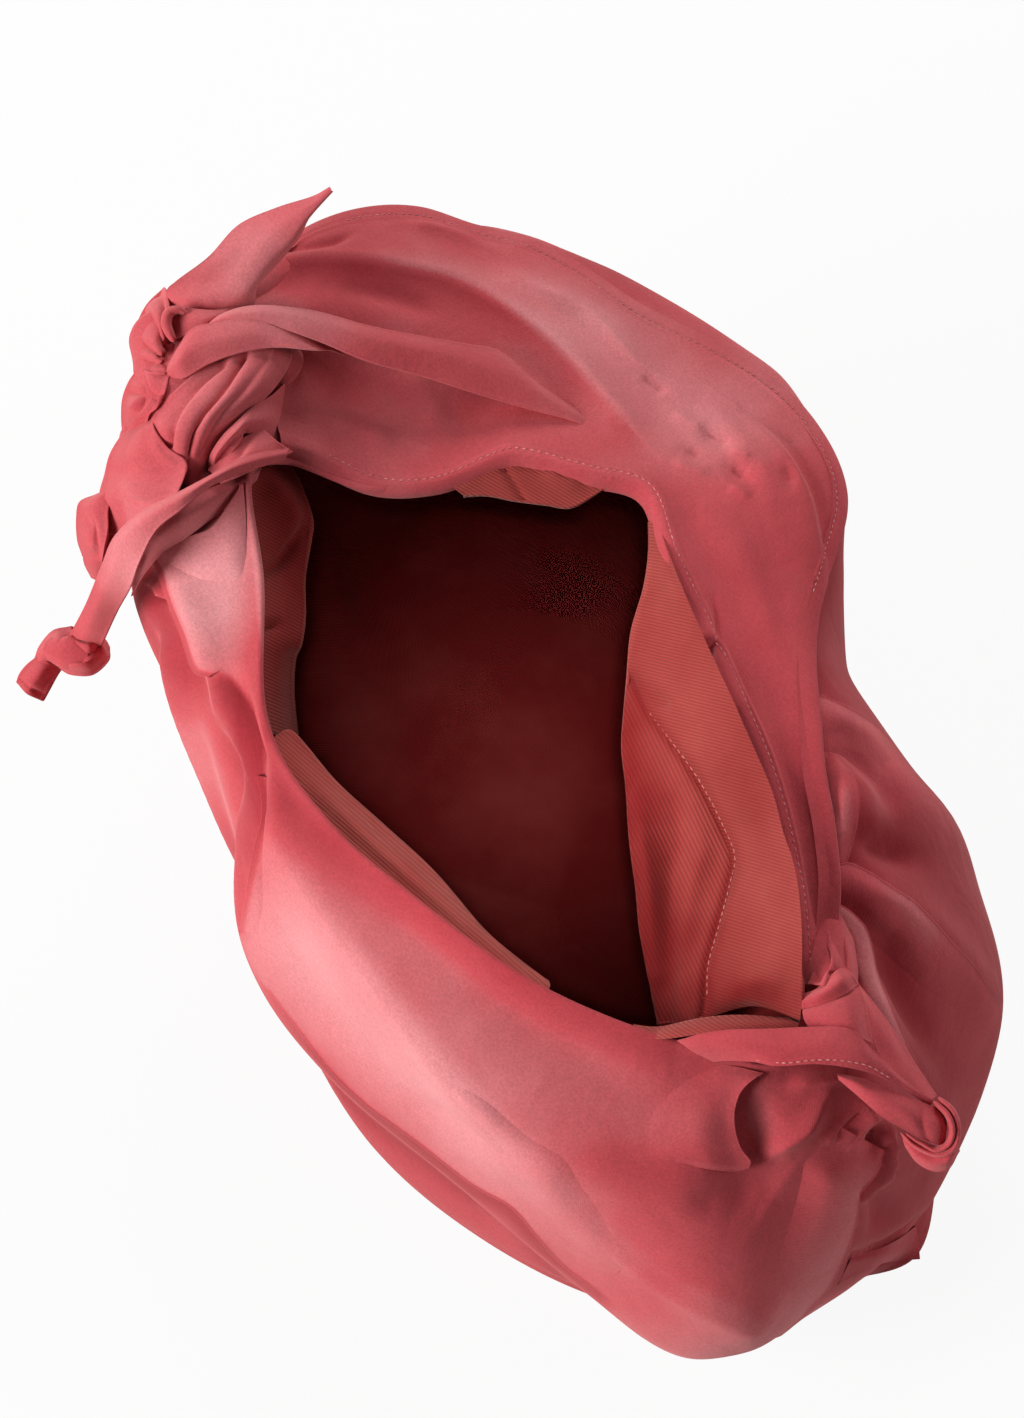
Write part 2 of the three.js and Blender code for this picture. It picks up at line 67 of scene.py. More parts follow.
def to_pixels(points):
    """Where points of the bag's frame fall in the photograph."""
    ray = np.asarray(points, float) - EYE
    depth = -(ray @ BACK)
    across = PHOTO_WIDTH / 2 + FOCAL * (ray @ RIGHT) / depth
    down = PHOTO_HEIGHT / 2 - FOCAL * (ray @ UP) / depth
    return np.stack([across, down], -1)


def from_pixels(places):
    """The points of the bag's frame at (pixel across, pixel down, height)."""
    places = np.asarray(places, float)
    ray = (
        -BACK
        + RIGHT * ((places[..., :1] - PHOTO_WIDTH / 2) / FOCAL)
        - UP * ((places[..., 1:2] - PHOTO_HEIGHT / 2) / FOCAL)
    )
    return EYE + ray * ((places[..., 2:] - EYE[2]) / ray[..., 2:])


camera_data = bpy.data.cameras.new("camera")
camera_data.lens = LENS
camera_data.sensor_width = SENSOR
camera_data.clip_start = 0.05
camera_data.clip_end = 20
camera = bpy.data.objects.new("camera", camera_data)
camera.matrix_world = Matrix([
    [RIGHT[0], UP[0], BACK[0], EYE[0] * MM],
    [RIGHT[1], UP[1], BACK[1], EYE[1] * MM],
    [RIGHT[2], UP[2], BACK[2], EYE[2] * MM],
    [0, 0, 0, 1],
])
scene.collection.objects.link(camera)
scene.camera = camera

# Curves and surfaces
SHORTEST_GAP = 1e-4
NEARLY_ZERO = 1e-9


def spline(control, where, closed=False):
    """Points of a centripetal spline through control points, at places counted in control points.

    control is (count, dimensions) for one curve, or (count, curves, dimensions) with one place per curve.
    """
    control = np.asarray(control, float)
    where = np.asarray(where, float)
    flat = where.ravel()
    if control.ndim == 2:
        control = control[:, None, :]
    column = np.arange(flat.size) if control.shape[1] > 1 else np.zeros(flat.size, int)
    count = len(control)
    if closed:
        step = np.floor(flat).astype(int)
        share = flat - step
        before, start, end, after = (control[(step + k) % count, column] for k in (-1, 0, 1, 2))
    else:
        step = np.clip(np.floor(flat).astype(int), 0, count - 2)
        share = flat - step
        start = control[step, column]
        end = control[step + 1, column]
        before = np.where((step > 0)[:, None], control[np.maximum(step - 1, 0), column], 2 * start - end)
        last = step + 2 < count
        after = np.where(last[:, None], control[np.minimum(step + 2, count - 1), column], 2 * end - start)
    spans = (start - before, end - start, after - end)
    gaps = [np.sqrt(np.linalg.norm(span, axis=1, keepdims=True)) for span in spans]
    middle = np.where(gaps[1] < SHORTEST_GAP, 1.0, gaps[1])
    first = np.where(gaps[0] < SHORTEST_GAP, middle, gaps[0])
    third = np.where(gaps[2] < SHORTEST_GAP, middle, gaps[2])
    leave = ((start - before) / first - (end - before) / (first + middle)) * middle + (end - start)
    arrive = (end - start) + ((after - end) / third - (after - start) / (middle + third)) * middle
    share = share[:, None]
    found = (
        start
        + leave * share
        + (3 * (end - start) - 2 * leave - arrive) * share**2
        + (2 * (start - end) + leave + arrive) * share**3
    )
    return found.reshape(where.shape + found.shape[1:])


def along(control, count):
    """Evenly counted points of an open spline."""
    return spline(control, np.linspace(0, len(control) - 1, count))


def smooth(value, low, high):
    """0 at low, 1 at high and a soft step between them."""
    share = np.clip((np.asarray(value, float) - low) / (high - low), 0, 1)
    return share * share * (3 - 2 * share)


def plateau(value, start, full, ebb, end):
    """1 from full to ebb and 0 outside start and end, with soft steps between them."""
    return smooth(value, start, full) * (1 - smooth(value, ebb, end))


def end_fade(share, start, end, length):
    """1 along a path, falling to a start and an end value over a length at its two ends."""
    return 1 - (1 - start) * (1 - smooth(share, 0, length)) - (1 - end) * (1 - smooth(1 - share, 0, length))


def unit(vectors):
    """The same directions at length 1."""
    return vectors / np.maximum(np.linalg.norm(vectors, axis=-1, keepdims=True), NEARLY_ZERO)


def grid_normals(points, closed=False):
    """The outward direction on rows that climb and columns that run counter-clockwise."""
    if closed:
        run = np.roll(points, -1, 1) - np.roll(points, 1, 1)
    else:
        run = np.gradient(points, axis=1)
    return unit(np.cross(run, np.gradient(points, axis=0)))


# The pouch: outlines at its foot, belly, shoulder and rim, one point per station, counter-clockwise
# from the right end.
FOOT = [
    [203, 0, 0], [218, 50, 0], [145, 98, 0], [85, 112, 0], [25, 122, 0],
    [-35, 128, 0], [-90, 127, 0], [-140, 115, 0], [-175, 90, 0], [-196, 50, 0],
    [-190, 0, 0], [-165, -52, 0], [-122, -80, 0], [-80, -94, 0], [-40, -110, 0],
    [6, -121, 0], [60, -124.5, 0], [114, -108.5, 0], [165, -78, 0], [195, -42, 0],
]
BELLY = [
    [233, -25, 62], [208, 60, 48], [160, 124, 66], [99, 139, 86], [31, 134, 98],
    [-38, 151, 98], [-105, 162, 95], [-165, 146, 95], [-212, 112, 95], [-234, 60, 95],
    [-226, 0, 95], [-192, -58, 95], [-142, -101, 98], [-98, -111, 95], [-50, -129, 100],
    [0, -151, 122], [50, -143, 106], [110, -121, 90], [176, -95, 66], [225, -70, 60],
]
SHOULDER = [
    [203, -12, 148], [190, 35, 150], [138, 68, 165], [85, 92, 180], [17, 111, 182],
    [-35, 158, 176], [-103, 168, 170], [-168, 142, 176], [-215, 108, 183], [-240, 62, 188],
    [-230, 0, 199], [-205, -60, 207], [-166, -108, 198], [-112, -116, 190], [-52, -125, 182],
    [0, -138, 168], [55, -128, 158], [112, -108, 148], [168, -76, 145], [198, -42, 144],
]
RIM = [
    [173, -8, 172], [163, 12, 176], [124, 35, 190], [73, 53, 198], [20, 63, 200],
    [-30, 72, 199], [-67, 80, 197], [-85, 62, 200], [-107, 38, 203], [-116, 10, 204],
    [-118, -20, 207], [-142, -48, 218], [-139, -67, 228], [-101, -84, 209], [-45, -112, 197],
    [5, -110, 193], [46, -97, 189], [101, -74, 184.5], [142, -43.5, 180], [160, -22, 175],
]
STATIONS = 20
RIM_LEVEL = 3
# The foot curls in under the pouch to this share of its outline.
FLOOR_TUCK = 0.86


def pouch_at(station, level):
    """Points of the smooth pouch: station 0 to 20 around, level 0 (foot) to 3 (rim)."""
    station, level = np.broadcast_arrays(np.asarray(station, float), np.asarray(level, float))
    outlines = [spline(o, station.ravel(), closed=True) for o in (FOOT, BELLY, SHOULDER, RIM)]
    control = np.stack([outlines[0] * FLOOR_TUCK, *outlines])
    return spline(control, level.ravel() + 1).reshape(station.shape + (3,))


# Folds: (path of station and level, height, width to its left, width to its right).
POUCH_FOLDS = [
    ([[14.2, 2.9], [15.6, 2.6], [17.4, 2.2], [18.9, 1.7], [19.6, 1.2]], 10, 26, 20),
    ([[19.4, 2.8], [19.1, 2.5], [19.3, 2.1], [19.7, 1.9]], -5, 16, 16),
    ([[18.7, 2.7], [18.7, 2.3], [19.0, 1.9]], 5, 16, 14),
    ([[14.6, 0.45], [16.0, 0.5], [17.4, 0.5], [18.4, 0.4]], -9, 22, 26),
    ([[12.0, 2.05], [13.0, 2.05], [14.1, 2.1]], 6, 10, 11),
    ([[12.9, 1.8], [13.2, 1.2], [13.6, 0.4]], 12, 14, 16),
    ([[12.2, 1.7], [12.3, 1.0], [12.4, 0.3]], 11, 14, 15),
    ([[13.9, 1.9], [14.2, 1.3], [14.4, 0.6]], -11, 14, 12),
    ([[2.0, 2.4], [2.1, 1.9], [1.8, 1.2]], 5, 13, 15),
    ([[2.6, 2.3], [2.9, 1.9], [3.0, 1.3], [2.9, 0.7]], 4, 14, 16),
    ([[1.4, 2.3], [1.3, 1.7], [0.9, 1.0]], 2, 13, 14),
    ([[3.6, 2.0], [4.0, 1.5], [4.2, 0.8]], -2, 14, 18),
    ([[4.8, 1.7], [5.0, 1.1], [5.0, 0.4]], -9, 16, 16),
    ([[6.0, 1.8], [5.9, 1.2], [6.0, 0.4]], 9, 16, 20),
    ([[7.6, 1.8], [7.5, 1.1], [7.6, 0.3]], -11, 16, 14),
    ([[8.4, 1.8], [8.4, 1.1], [8.3, 0.4]], 8, 15, 15),
    ([[9.6, 1.8], [9.5, 1.0], [9.4, 0.3]], -10, 16, 16),
    ([[10.6, 2.0], [10.3, 1.3], [10.2, 0.4]], 11, 15, 18),
    ([[11.4, 1.9], [11.3, 1.2], [11.3, 0.4]], -9, 14, 14),
    ([[0.4, 1.6], [0.6, 1.0], [0.9, 0.3]], 2, 15, 15),
    ([[0.5, 0.5], [1.0, 0.42], [1.6, 0.5]], -9, 14, 14),
]
FOLD_SAMPLES = 24
# Millimetres on either side of a crest over which the fold's left width becomes its right width
CREST_HALF = 6
# The rim's hem holds back this share of a fold, from this level up.
RIM_EVENNESS = 0.8
RIM_HEM_LEVEL = 2.4
# Folds drawn on the photograph fade in as a surface turns from edge-on to well in view.
EDGE_ON = 0.02
IN_VIEW = 0.25
# The share of a drawn path over which each of its ends fades
END_FADE = 0.35


def nearest_on(points, line):
    """Each point's nearest place along a line, counted in samples, the way from there and the heading."""
    best = np.full(points.shape[:-1], np.inf)
    where = np.zeros(points.shape[:-1])
    for number in range(len(line) - 1):
        step = line[number + 1] - line[number]
        share = np.clip(((points - line[number]) @ step) / max(step @ step, NEARLY_ZERO), 0, 1)
        gap = ((points - line[number] - share[..., None] * step) ** 2).sum(-1)
        closer = gap < best
        best[closer] = gap[closer]
        where[closer] = (number + share)[closer]
    step = np.minimum(where.astype(int), len(line) - 2)
    share = (where - step)[..., None]
    return where, points - line[step] * (1 - share) - line[step + 1] * share, (line[1:] - line[:-1])[step]


def pouch_lift(points, normals, level):
    """How far the pouch's own folds lift its smooth surface; the rim's hem keeps them low there."""
    lift = np.zeros(points.shape[:-1])
    for path, height, left, right in POUCH_FOLDS:
        route = along(np.array(path), FOLD_SAMPLES + 1)
        line = pouch_at(route[:, 0], np.minimum(route[:, 1], RIM_LEVEL))
        where, away, heading = nearest_on(points, line)
        side = (unit(np.cross(heading, normals)) * away).sum(-1)
        width = left + (right - left) * smooth(side, -CREST_HALF, CREST_HALF)
        fade = np.sqrt(np.sin(np.pi * (where + 0.5) / (FOLD_SAMPLES + 1)))
        lift += height * fade * np.exp(-(away**2).sum(-1) / width**2)
    return lift * (1 - RIM_EVENNESS * smooth(level, RIM_HEM_LEVEL, RIM_LEVEL))


def seen_lift(points, normals, folds):
    """Lift of folds drawn on the photograph: (path in pixels, height, left, right, start, end, crest).

    Left and right are widths in pixels, start and end the share of the height left at the path's ends,
    and a crest of 2 is a soft ridge, of 1 a sharp one.
    """
    pixels = to_pixels(points)
    in_view = smooth((normals * unit(EYE - points)).sum(-1), EDGE_ON, IN_VIEW)
    lift = np.zeros(points.shape[:-1])
    for path, height, left, right, start, end, crest in folds:
        line = along(np.array(path, float), 2 * FOLD_SAMPLES)
        where, away, heading = nearest_on(pixels, line)
        side = heading[..., 0] * away[..., 1] - heading[..., 1] * away[..., 0]
        width = np.where(side > 0, right, left)
        share = where / (len(line) - 1)
        fade = end_fade(share, start, end, END_FADE)
        lift += height * fade * np.exp(-((np.linalg.norm(away, axis=-1) / width) ** crest))
    return lift * in_view


# Meshes


def quads(rows, columns, closed=False):
    """Faces of a grid of points, row by row."""
    across = np.arange(columns if closed else columns - 1)
    row, column = np.meshgrid(np.arange(rows - 1), across, indexing="ij")
    low = row * columns
    high = low + columns
    beside = (column + 1) % columns
    return np.stack([low + column, low + beside, high + beside, high + column], -1).reshape(-1, 4)


def face_corners(uv):
    """Cloth coordinates of a grid's points, given to the corners of its faces."""
    return np.stack([uv[:-1, :-1], uv[:-1, 1:], uv[1:, 1:], uv[1:, :-1]], 2).reshape(-1, 4, 2)


def arc_weave(points, closed=False):
    """Cloth coordinates in metres for each face corner of a grid: arc length along and across."""
    if closed:
        points = np.concatenate([points, points[:, :1]], 1)
    middle = points[len(points) // 2]
    run = np.concatenate([[0], np.cumsum(np.linalg.norm(np.diff(middle, axis=0), axis=1))])
    climb = np.concatenate([
        np.zeros((1, points.shape[1])),
        np.cumsum(np.linalg.norm(np.diff(points, axis=0), axis=2), 0),
    ])
    return face_corners(np.stack([np.broadcast_to(run, climb.shape), climb], -1) * MM)


def flat_weave(points):
    """Cloth coordinates in metres of a grid that hangs about level with the view."""
    return face_corners(np.stack([points @ RIGHT, points @ UP], -1) * MM)


def turning(angle):
    """The matrix that turns cloth coordinates by an angle in radians."""
    return np.array([[math.cos(angle), math.sin(angle)], [-math.sin(angle), math.cos(angle)]])


class Shape:
    """Points, faces, cloth coordinates, and painted light and shade with the nap, gathered for one piece."""

    def __init__(self):
        self.points = []
        self.faces = []
        self.uv = []
        self.painted_light_and_nap = []
        self.count = 0

    def grid(self, points, closed=False, turn=0.0, painted_light_and_nap=0.0, weave=None):
        """Add a grid of cloth, its weave turned by an angle and its painted light and shade with the nap
        changed by a share.
        """
        uv = weave(points) if weave else arc_weave(points, closed)
        count = points.shape[0] * points.shape[1]
        self.points.append(points.reshape(-1, 3))
        self.faces.append(quads(points.shape[0], points.shape[1], closed) + self.count)
        self.uv.append(uv @ turning(turn))
        self.painted_light_and_nap.append(np.broadcast_to(np.asarray(painted_light_and_nap, float).ravel(), count))
        self.count += count


# Where the colour is painted pale for light or deep for shade, with the nap's own paleness:
# ((pixel across, pixel down, height), reach in mm, share)
PAINTED_LIGHT_AND_NAP_BASE = 0.42
PAINTED_LIGHT_AND_NAP = [
    ((205, 590, 205), 26, 0.55), ((235, 520, 222), 20, 0.15), ((230, 680, 195), 22, 0.05),
    ((285, 925, 155), 38, 0.24), ((338, 1015, 145), 40, 0.24), ((418, 1098, 138), 42, 0.22),
    ((520, 1195, 120), 42, 0.14), ((600, 1110, 165), 48, 0.1), ((350, 930, 172), 40, 0.1),
    ((480, 1040, 168), 46, 0.1), ((215, 800, 130), 40, 0.3), ((120, 560, 214), 30, 0.15),
    ((240, 260, 255), 28, 0.25), ((410, 390, 207), 26, 0.08), ((630, 275, 165), 30, -0.3),
    ((440, 285, 225), 26, 0.2), ((540, 320, 205), 26, 0.2), ((700, 430, 190), 34, 0.3),
    ((600, 360, 190), 30, 0.15), ((720, 1110, 165), 30, 0.15), ((300, 310, 250), 26, 0.25),
    ((900, 880, 110), 60, -0.4), ((890, 1200, 70), 50, -0.4), ((770, 1305, 60), 45, 0.3),
    ((700, 1200, 120), 40, -0.1), ((330, 265, 222), 34, -0.14), ((790, 560, 187), 46, -0.3),
    ((800, 780, 185), 50, -0.15), ((430, 1190, 30), 50, -0.1), ((860, 700, 120), 45, -0.35),
    ((960, 980, 70), 50, -0.2), ((760, 1045, 195), 32, -0.3), ((205, 400, 245), 24, 0.15),
]


def painted_light_and_nap_at(points):
    """How pale each point is painted, from 0 to 1: paler for painted light, deeper for painted shade, with
    the nap's own paleness.
    """
    share = np.full(len(points), PAINTED_LIGHT_AND_NAP_BASE)
    for place, reach, change in PAINTED_LIGHT_AND_NAP:
        share += change * np.exp(-((points - from_pixels(place)) ** 2).sum(-1) / reach**2)
    return share


def make_piece(name, shape, material, node=None):
    """A mesh object in metres that rides on the bag's one body."""
    points = np.concatenate(shape.points) * MM
    faces = np.concatenate(shape.faces)
    mesh = bpy.data.meshes.new(name)
    mesh.from_pydata(points.tolist(), [], faces.tolist())
    layer = mesh.uv_layers.new(name="cloth")
    layer.data.foreach_set("uv", np.concatenate(shape.uv).astype(np.float32).ravel())
    # Each point's painted light and shade with the nap's own paleness, which the materials turn into colour
    painted_light_and_nap = mesh.attributes.new("painted_light_and_nap", "FLOAT", "POINT")
    share = np.clip(painted_light_and_nap_at(points / MM) + np.concatenate(shape.painted_light_and_nap), 0, 1)
    painted_light_and_nap.data.foreach_set("value", share.astype(np.float32))
    mesh.polygons.foreach_set("use_smooth", np.ones(len(faces), bool))
    mesh.materials.append(material)
    mesh.update()
    piece = bpy.data.objects.new(name, mesh)
    scene.collection.objects.link(piece)
    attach(piece, "root")
    if node:
        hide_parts(node)
    return piece


# Materials: the middle of a noise's values, and what a wave texture repeats over at a scale of 1
NOISE_LOW = 0.3
NOISE_HIGH = 0.7
WAVE_REPEAT = math.pi / 10


def linear(hex_colour):
    """A linear RGBA colour from an sRGB hex code."""
    values = [int(hex_colour[i:i + 2], 16) / 255 for i in (1, 3, 5)]
    return [v / 12.92 if v <= 0.04045 else ((v + 0.055) / 1.055) ** 2.4 for v in values] + [1]


def per_metre(size):
    """The scale of a pattern whose features are that many millimetres across."""
    return 1 / (size * MM)


class Nodes:
    """The node tree of a material or a world, with one way of adding a node."""

    def __init__(self, owner):
        self.owner = owner
        owner.use_nodes = True
        self.tree = owner.node_tree
        self.tree.nodes.clear()

    def add(self, kind, links=None, values=None, stops=(), **settings):
        """A node with its links, socket values, settings and, for a colour ramp, (place, colour) stops."""
        node = self.tree.nodes.new(kind)
        for key, value in settings.items():
            setattr(node, key, value)
        for key, value in (values or {}).items():
            node.inputs[key].default_value = value
        for key, socket in (links or {}).items():
            self.tree.links.new(socket, node.inputs[key])
        for number, (place, colour) in enumerate(stops):
            if number == len(node.color_ramp.elements):
                node.color_ramp.elements.new(1)
            node.color_ramp.elements[number].position = place
            node.color_ramp.elements[number].color = linear(colour)
        return node


def painted_light_and_nap_colour(nodes, space, cloud_size, cloud_roughness, spread, stops):
    """Colour by the painted light and shade with the nap, paler where light is painted and deeper where
    shade is painted, with broad cloudy patches where the pile lies one way or the other.
    """
    cloud = nodes.add(
        "ShaderNodeTexNoise", {"Vector": space},
        {"Scale": per_metre(cloud_size), "Detail": 4.0, "Roughness": cloud_roughness},
    )
    patchy = nodes.add(
        "ShaderNodeMapRange", {"Value": cloud.outputs["Fac"]},
        {1: NOISE_LOW, 2: NOISE_HIGH, 3: -spread, 4: spread},
    )
    painted_light_and_nap = nodes.add("ShaderNodeAttribute", attribute_name="painted_light_and_nap")
    pale = nodes.add("ShaderNodeMath", {0: painted_light_and_nap.outputs["Fac"], 1: patchy.outputs[0]}, operation="ADD")
    return nodes.add("ShaderNodeValToRGB", {"Fac": pale.outputs[0]}, stops=stops).outputs["Color"]


def twill_ribs(nodes, uv, slant, pitch, waver):
    """The slanting ribs of a twill, that many millimetres apart; waver says how uneven they are."""
    turned = nodes.add("ShaderNodeMapping", {"Vector": uv}, {"Rotation": (0, 0, slant)})
    wave = nodes.add(
        "ShaderNodeTexWave", {"Vector": turned.outputs["Vector"]},
        {"Scale": WAVE_REPEAT * per_metre(pitch), **waver},
    )
    return wave.outputs["Fac"]


def sueded_cotton(name, deep_and_shaded, middle, dusty_and_lit):
    """Sueded cotton twill, piece dyed and brushed to a short soft pile."""
    nodes = Nodes(bpy.data.materials.new(name))
    place = nodes.add("ShaderNodeTexCoord").outputs
    # The colour runs from a deep red, painted where shade falls, to a dusty pink, painted where light falls,
    # by each point's painted light and nap
    base = painted_light_and_nap_colour(
        nodes, place["Object"], cloud_size=71.43, cloud_roughness=0.55, spread=0.1,
        stops=[(0.05, deep_and_shaded), (PAINTED_LIGHT_AND_NAP_BASE, middle), (0.95, dusty_and_lit)],
    )
    # The pile's fibre ends make a fine mottle, drawn at about 1 mm so that it shows.
    mottle = nodes.add(
        "ShaderNodeTexNoise", {"Vector": place["Object"]},
        {"Scale": per_metre(1.1111), "Detail": 3.0, "Roughness": 0.7},
    )
    speck = nodes.add(
        "ShaderNodeMapRange", {"Value": mottle.outputs["Fac"]},
        {1: NOISE_LOW, 2: NOISE_HIGH, 3: 0.84, 4: 1.14},
    )
    shade = nodes.add(
        "ShaderNodeMix", {6: base, 7: speck.outputs[0]}, {0: 1.0}, data_type="RGBA", blend_type="MULTIPLY",
    )
    # The twill underneath, drawn at twice its real pitch so that it shows.
    rib = twill_ribs(
        nodes, place["UV"], slant=0.9, pitch=1.2083,
        waver={"Distortion": 1.2, "Detail": 2.0, "Detail Scale": 2.0},
    )
    grain = nodes.add(
        "ShaderNodeMath", {0: rib, 2: mottle.outputs["Fac"]}, {1: 0.25}, operation="MULTIPLY_ADD",
    )
    # Soft crumples a few centimetres across, left from folding and washing.
    worn = nodes.add(
        "ShaderNodeTexNoise", {"Vector": place["Object"]},
        {"Scale": per_metre(26.316), "Detail": 3.0, "Roughness": 0.5, "Distortion": 0.7},
    )
    crumple = nodes.add(
        "ShaderNodeBump", {"Height": worn.outputs["Fac"]}, {"Strength": 0.4, "Distance": 0.003},
    )
    bump = nodes.add(
        "ShaderNodeBump", {"Height": grain.outputs[0], "Normal": crumple.outputs["Normal"]},
        {"Strength": 0.3, "Distance": 0.0004},
    )
    # Sheen stands for the pile: it lightens and greys the cloth where it turns away.
    skin = nodes.add(
        "ShaderNodeBsdfPrincipled",
        {"Base Color": shade.outputs[2], "Normal": bump.outputs["Normal"]},
        {"Roughness": 0.92, "Specular IOR Level": 0.15, "Sheen Weight": 0.26, "Sheen Roughness": 0.6,
         "Sheen Tint": linear("#ffc4c0")},
    )
    nodes.add("ShaderNodeOutputMaterial", {"Surface": skin.outputs["BSDF"]})
    return nodes.owner


def coral_twill(name):
    """Coral cotton drill, a 2/1 twill woven from dyed yarn, with its ribs in plain view."""
    nodes = Nodes(bpy.data.materials.new(name))
    place = nodes.add("ShaderNodeTexCoord").outputs
    # The colour runs from a dark red, painted where shade falls, to a pale coral, painted where light falls,
    # by each point's painted light and nap
    base = painted_light_and_nap_colour(
        nodes, place["Object"], cloud_size=55.56, cloud_roughness=0.6, spread=0.12,
        stops=[(0.0, "#7c1012"), (PAINTED_LIGHT_AND_NAP_BASE, "#9f3d38"), (0.95, "#ba655b")],
    )
    # The ribs are a little coarser than real so that they show from a step away.
    rib = twill_ribs(
        nodes, place["UV"], slant=1.05, pitch=1.309,
        waver={"Distortion": 0.3, "Detail": 1.0, "Detail Scale": 3.0},
    )
    dark = nodes.add("ShaderNodeMapRange", {"Value": rib}, {1: 0.1, 2: 0.9, 3: 0.76, 4: 1.08})
    shade = nodes.add(
        "ShaderNodeMix", {6: base, 7: dark.outputs[0]}, {0: 1.0}, data_type="RGBA", blend_type="MULTIPLY",
    )
    bump = nodes.add("ShaderNodeBump", {"Height": rib}, {"Strength": 0.5, "Distance": 0.0004})
    skin = nodes.add(
        "ShaderNodeBsdfPrincipled",
        {"Base Color": shade.outputs[2], "Normal": bump.outputs["Normal"]},
        {"Roughness": 0.85, "Specular IOR Level": 0.2, "Sheen Weight": 0.15, "Sheen Roughness": 0.5,
         "Sheen Tint": linear("#ffdccf")},
    )
    nodes.add("ShaderNodeOutputMaterial", {"Surface": skin.outputs["BSDF"]})
    return nodes.owner


def sewing_thread(name, dark, pale):
    """Spun polyester sewing thread, two plies twisted, a little fuzzy and so uneven in tone."""
    nodes = Nodes(bpy.data.materials.new(name))
    place = nodes.add("ShaderNodeTexCoord").outputs
    fuzz = nodes.add(
        "ShaderNodeTexNoise", {"Vector": place["Object"]}, {"Scale": per_metre(1.4286), "Detail": 2.0},
    )
    base = nodes.add("ShaderNodeValToRGB", {"Fac": fuzz.outputs["Fac"]}, stops=[(0.35, dark), (0.65, pale)])
    skin = nodes.add(
        "ShaderNodeBsdfPrincipled", {"Base Color": base.outputs["Color"]},
        {"Roughness": 0.7, "Specular IOR Level": 0.3},
    )
    nodes.add("ShaderNodeOutputMaterial", {"Surface": skin.outputs["BSDF"]})
    return nodes.owner


# The rose's deep red is painted shade and its dusty pink painted highlight and pale nap; the middle rose is
# its own colour
rose = sueded_cotton("sueded_rose_cotton", "#9a252f", "#bc474e", "#da8d90")
coral = coral_twill("coral_cotton_drill")
thread = sewing_thread("rose_sewing_thread", "#b45a5e", "#d08784")
coral_thread = sewing_thread("coral_sewing_thread", "#b4544a", "#d08476")


# The outer cloth: the left edge of the panel that stands up at the left and of the front panel below it, the
# long soft ridge of the front panel and the hollow above that
PANEL_EDGE = [
    (155, 559), (166, 592), (182, 634), (195, 671), (210, 676), (228, 680), (244, 702), (254, 724),
    (259, 775), (264, 813), (256, 848), (247, 897), (241, 930),
]
FRONT_RIDGE = [
    (262, 811), (306, 876), (379, 971), (425, 1029), (482, 1098), (547, 1167), (601, 1224), (674, 1281),
    (746, 1316),
]
FRONT_HOLLOW = [(262, 745), (285, 800), (345, 852), (420, 905), (500, 965), (590, 1015), (660, 1043)]
SEEN_POUCH_FOLDS = [
    # The wall beside the panel's edge and its puckers
    (PANEL_EDGE, -8, 10, 42, 0.9, 0.5, 1.5),
    ([(128, 596), (148, 604), (165, 602)], -7, 4, 4, 0.6, 0.6, 1.4),
    ([(140, 579), (156, 589), (166, 603)], 5, 5, 5, 0.6, 0.6, 1.4),
    ([(122, 612), (141, 622), (160, 644), (174, 677)], 7, 7, 9, 0.4, 0.4, 1.5),
    ([(141, 610), (160, 629), (174, 659)], -6, 6, 6, 0.4, 0.4, 1.5),
    ([(208, 750), (219, 800), (238, 860)], 3.5, 8, 10, 0.3, 0.3, 1.6),
    # The ridge of the front panel, the hollow above it and a shallow one below
    (FRONT_RIDGE, 5.5, 40, 30, 0.6, 0.7, 1.2),
    (FRONT_RIDGE[2:], 2.6, 28, 24, 0.0, 0.7, 1.3),
    ([(300, 830), (400, 925), (500, 1005), (600, 1075), (680, 1130)], -2.5, 24, 26, 0.3, 0.3, 2),
    ([(262, 900), (330, 1010), (420, 1095), (520, 1185)], -3, 22, 26, 0.2, 0.2, 2),
    # The hollows beside and below the swag at the right
    ([(773, 1092), (761, 1115), (764, 1136), (779, 1148)], -2, 22, 14, 0.6, 0.4, 2),
    ([(678, 1189), (726, 1192), (761, 1183)], -2.5, 16, 14, 0.1, 0.4, 2),
    ([(826, 1095), (806, 1129), (785, 1145), (764, 1158)], 5, 10, 10, 0.4, 0.3, 1.5),
    # Gathers drawn towards the right knot
    ([(785, 1086), (815, 1081), (841, 1077)], 3, 8, 8, 0.1, 1, 1.5),
    ([(820, 1148), (841, 1126), (860, 1108)], 4, 5, 6, 0.1, 1, 1.4),
    ([(828, 1142), (844, 1124), (857, 1111)], -4, 3, 3, 0.1, 1, 1.4),
    ([(835, 1160), (853, 1136), (865, 1115)], 4, 5, 5, 0.1, 1, 1.4),
    ([(875, 1114), (883, 1127), (883, 1154), (877, 1177), (862, 1194)], 8, 4, 13, 0.8, 0.5, 1.5),
    ([(873, 1120), (871, 1136), (867, 1155)], -7, 3, 4, 0.7, 0.3, 1.3),
    # The turn from the bulge of the front to the right end, its hollow and its corner
    ([(874, 1189), (880, 1213), (874, 1237)], -6, 16, 10, 0.3, 0.3, 2),
    ([(852, 1255), (880, 1248), (912, 1228), (920, 1220)], -5, 5, 7, 0.6, 0.6, 1.4),
    # Hollows between the folds of the right back
    ([(874, 929), (894, 970), (915, 1018), (942, 1071)], -6, 16, 14, 0.5, 0.3, 2),
    ([(862, 840), (886, 850), (920, 862)], -5, 12, 14, 0.5, 0.3, 2),
    ([(840, 735), (865, 760), (885, 790), (895, 825)], -6, 14, 14, 0.6, 0.2, 2),
]
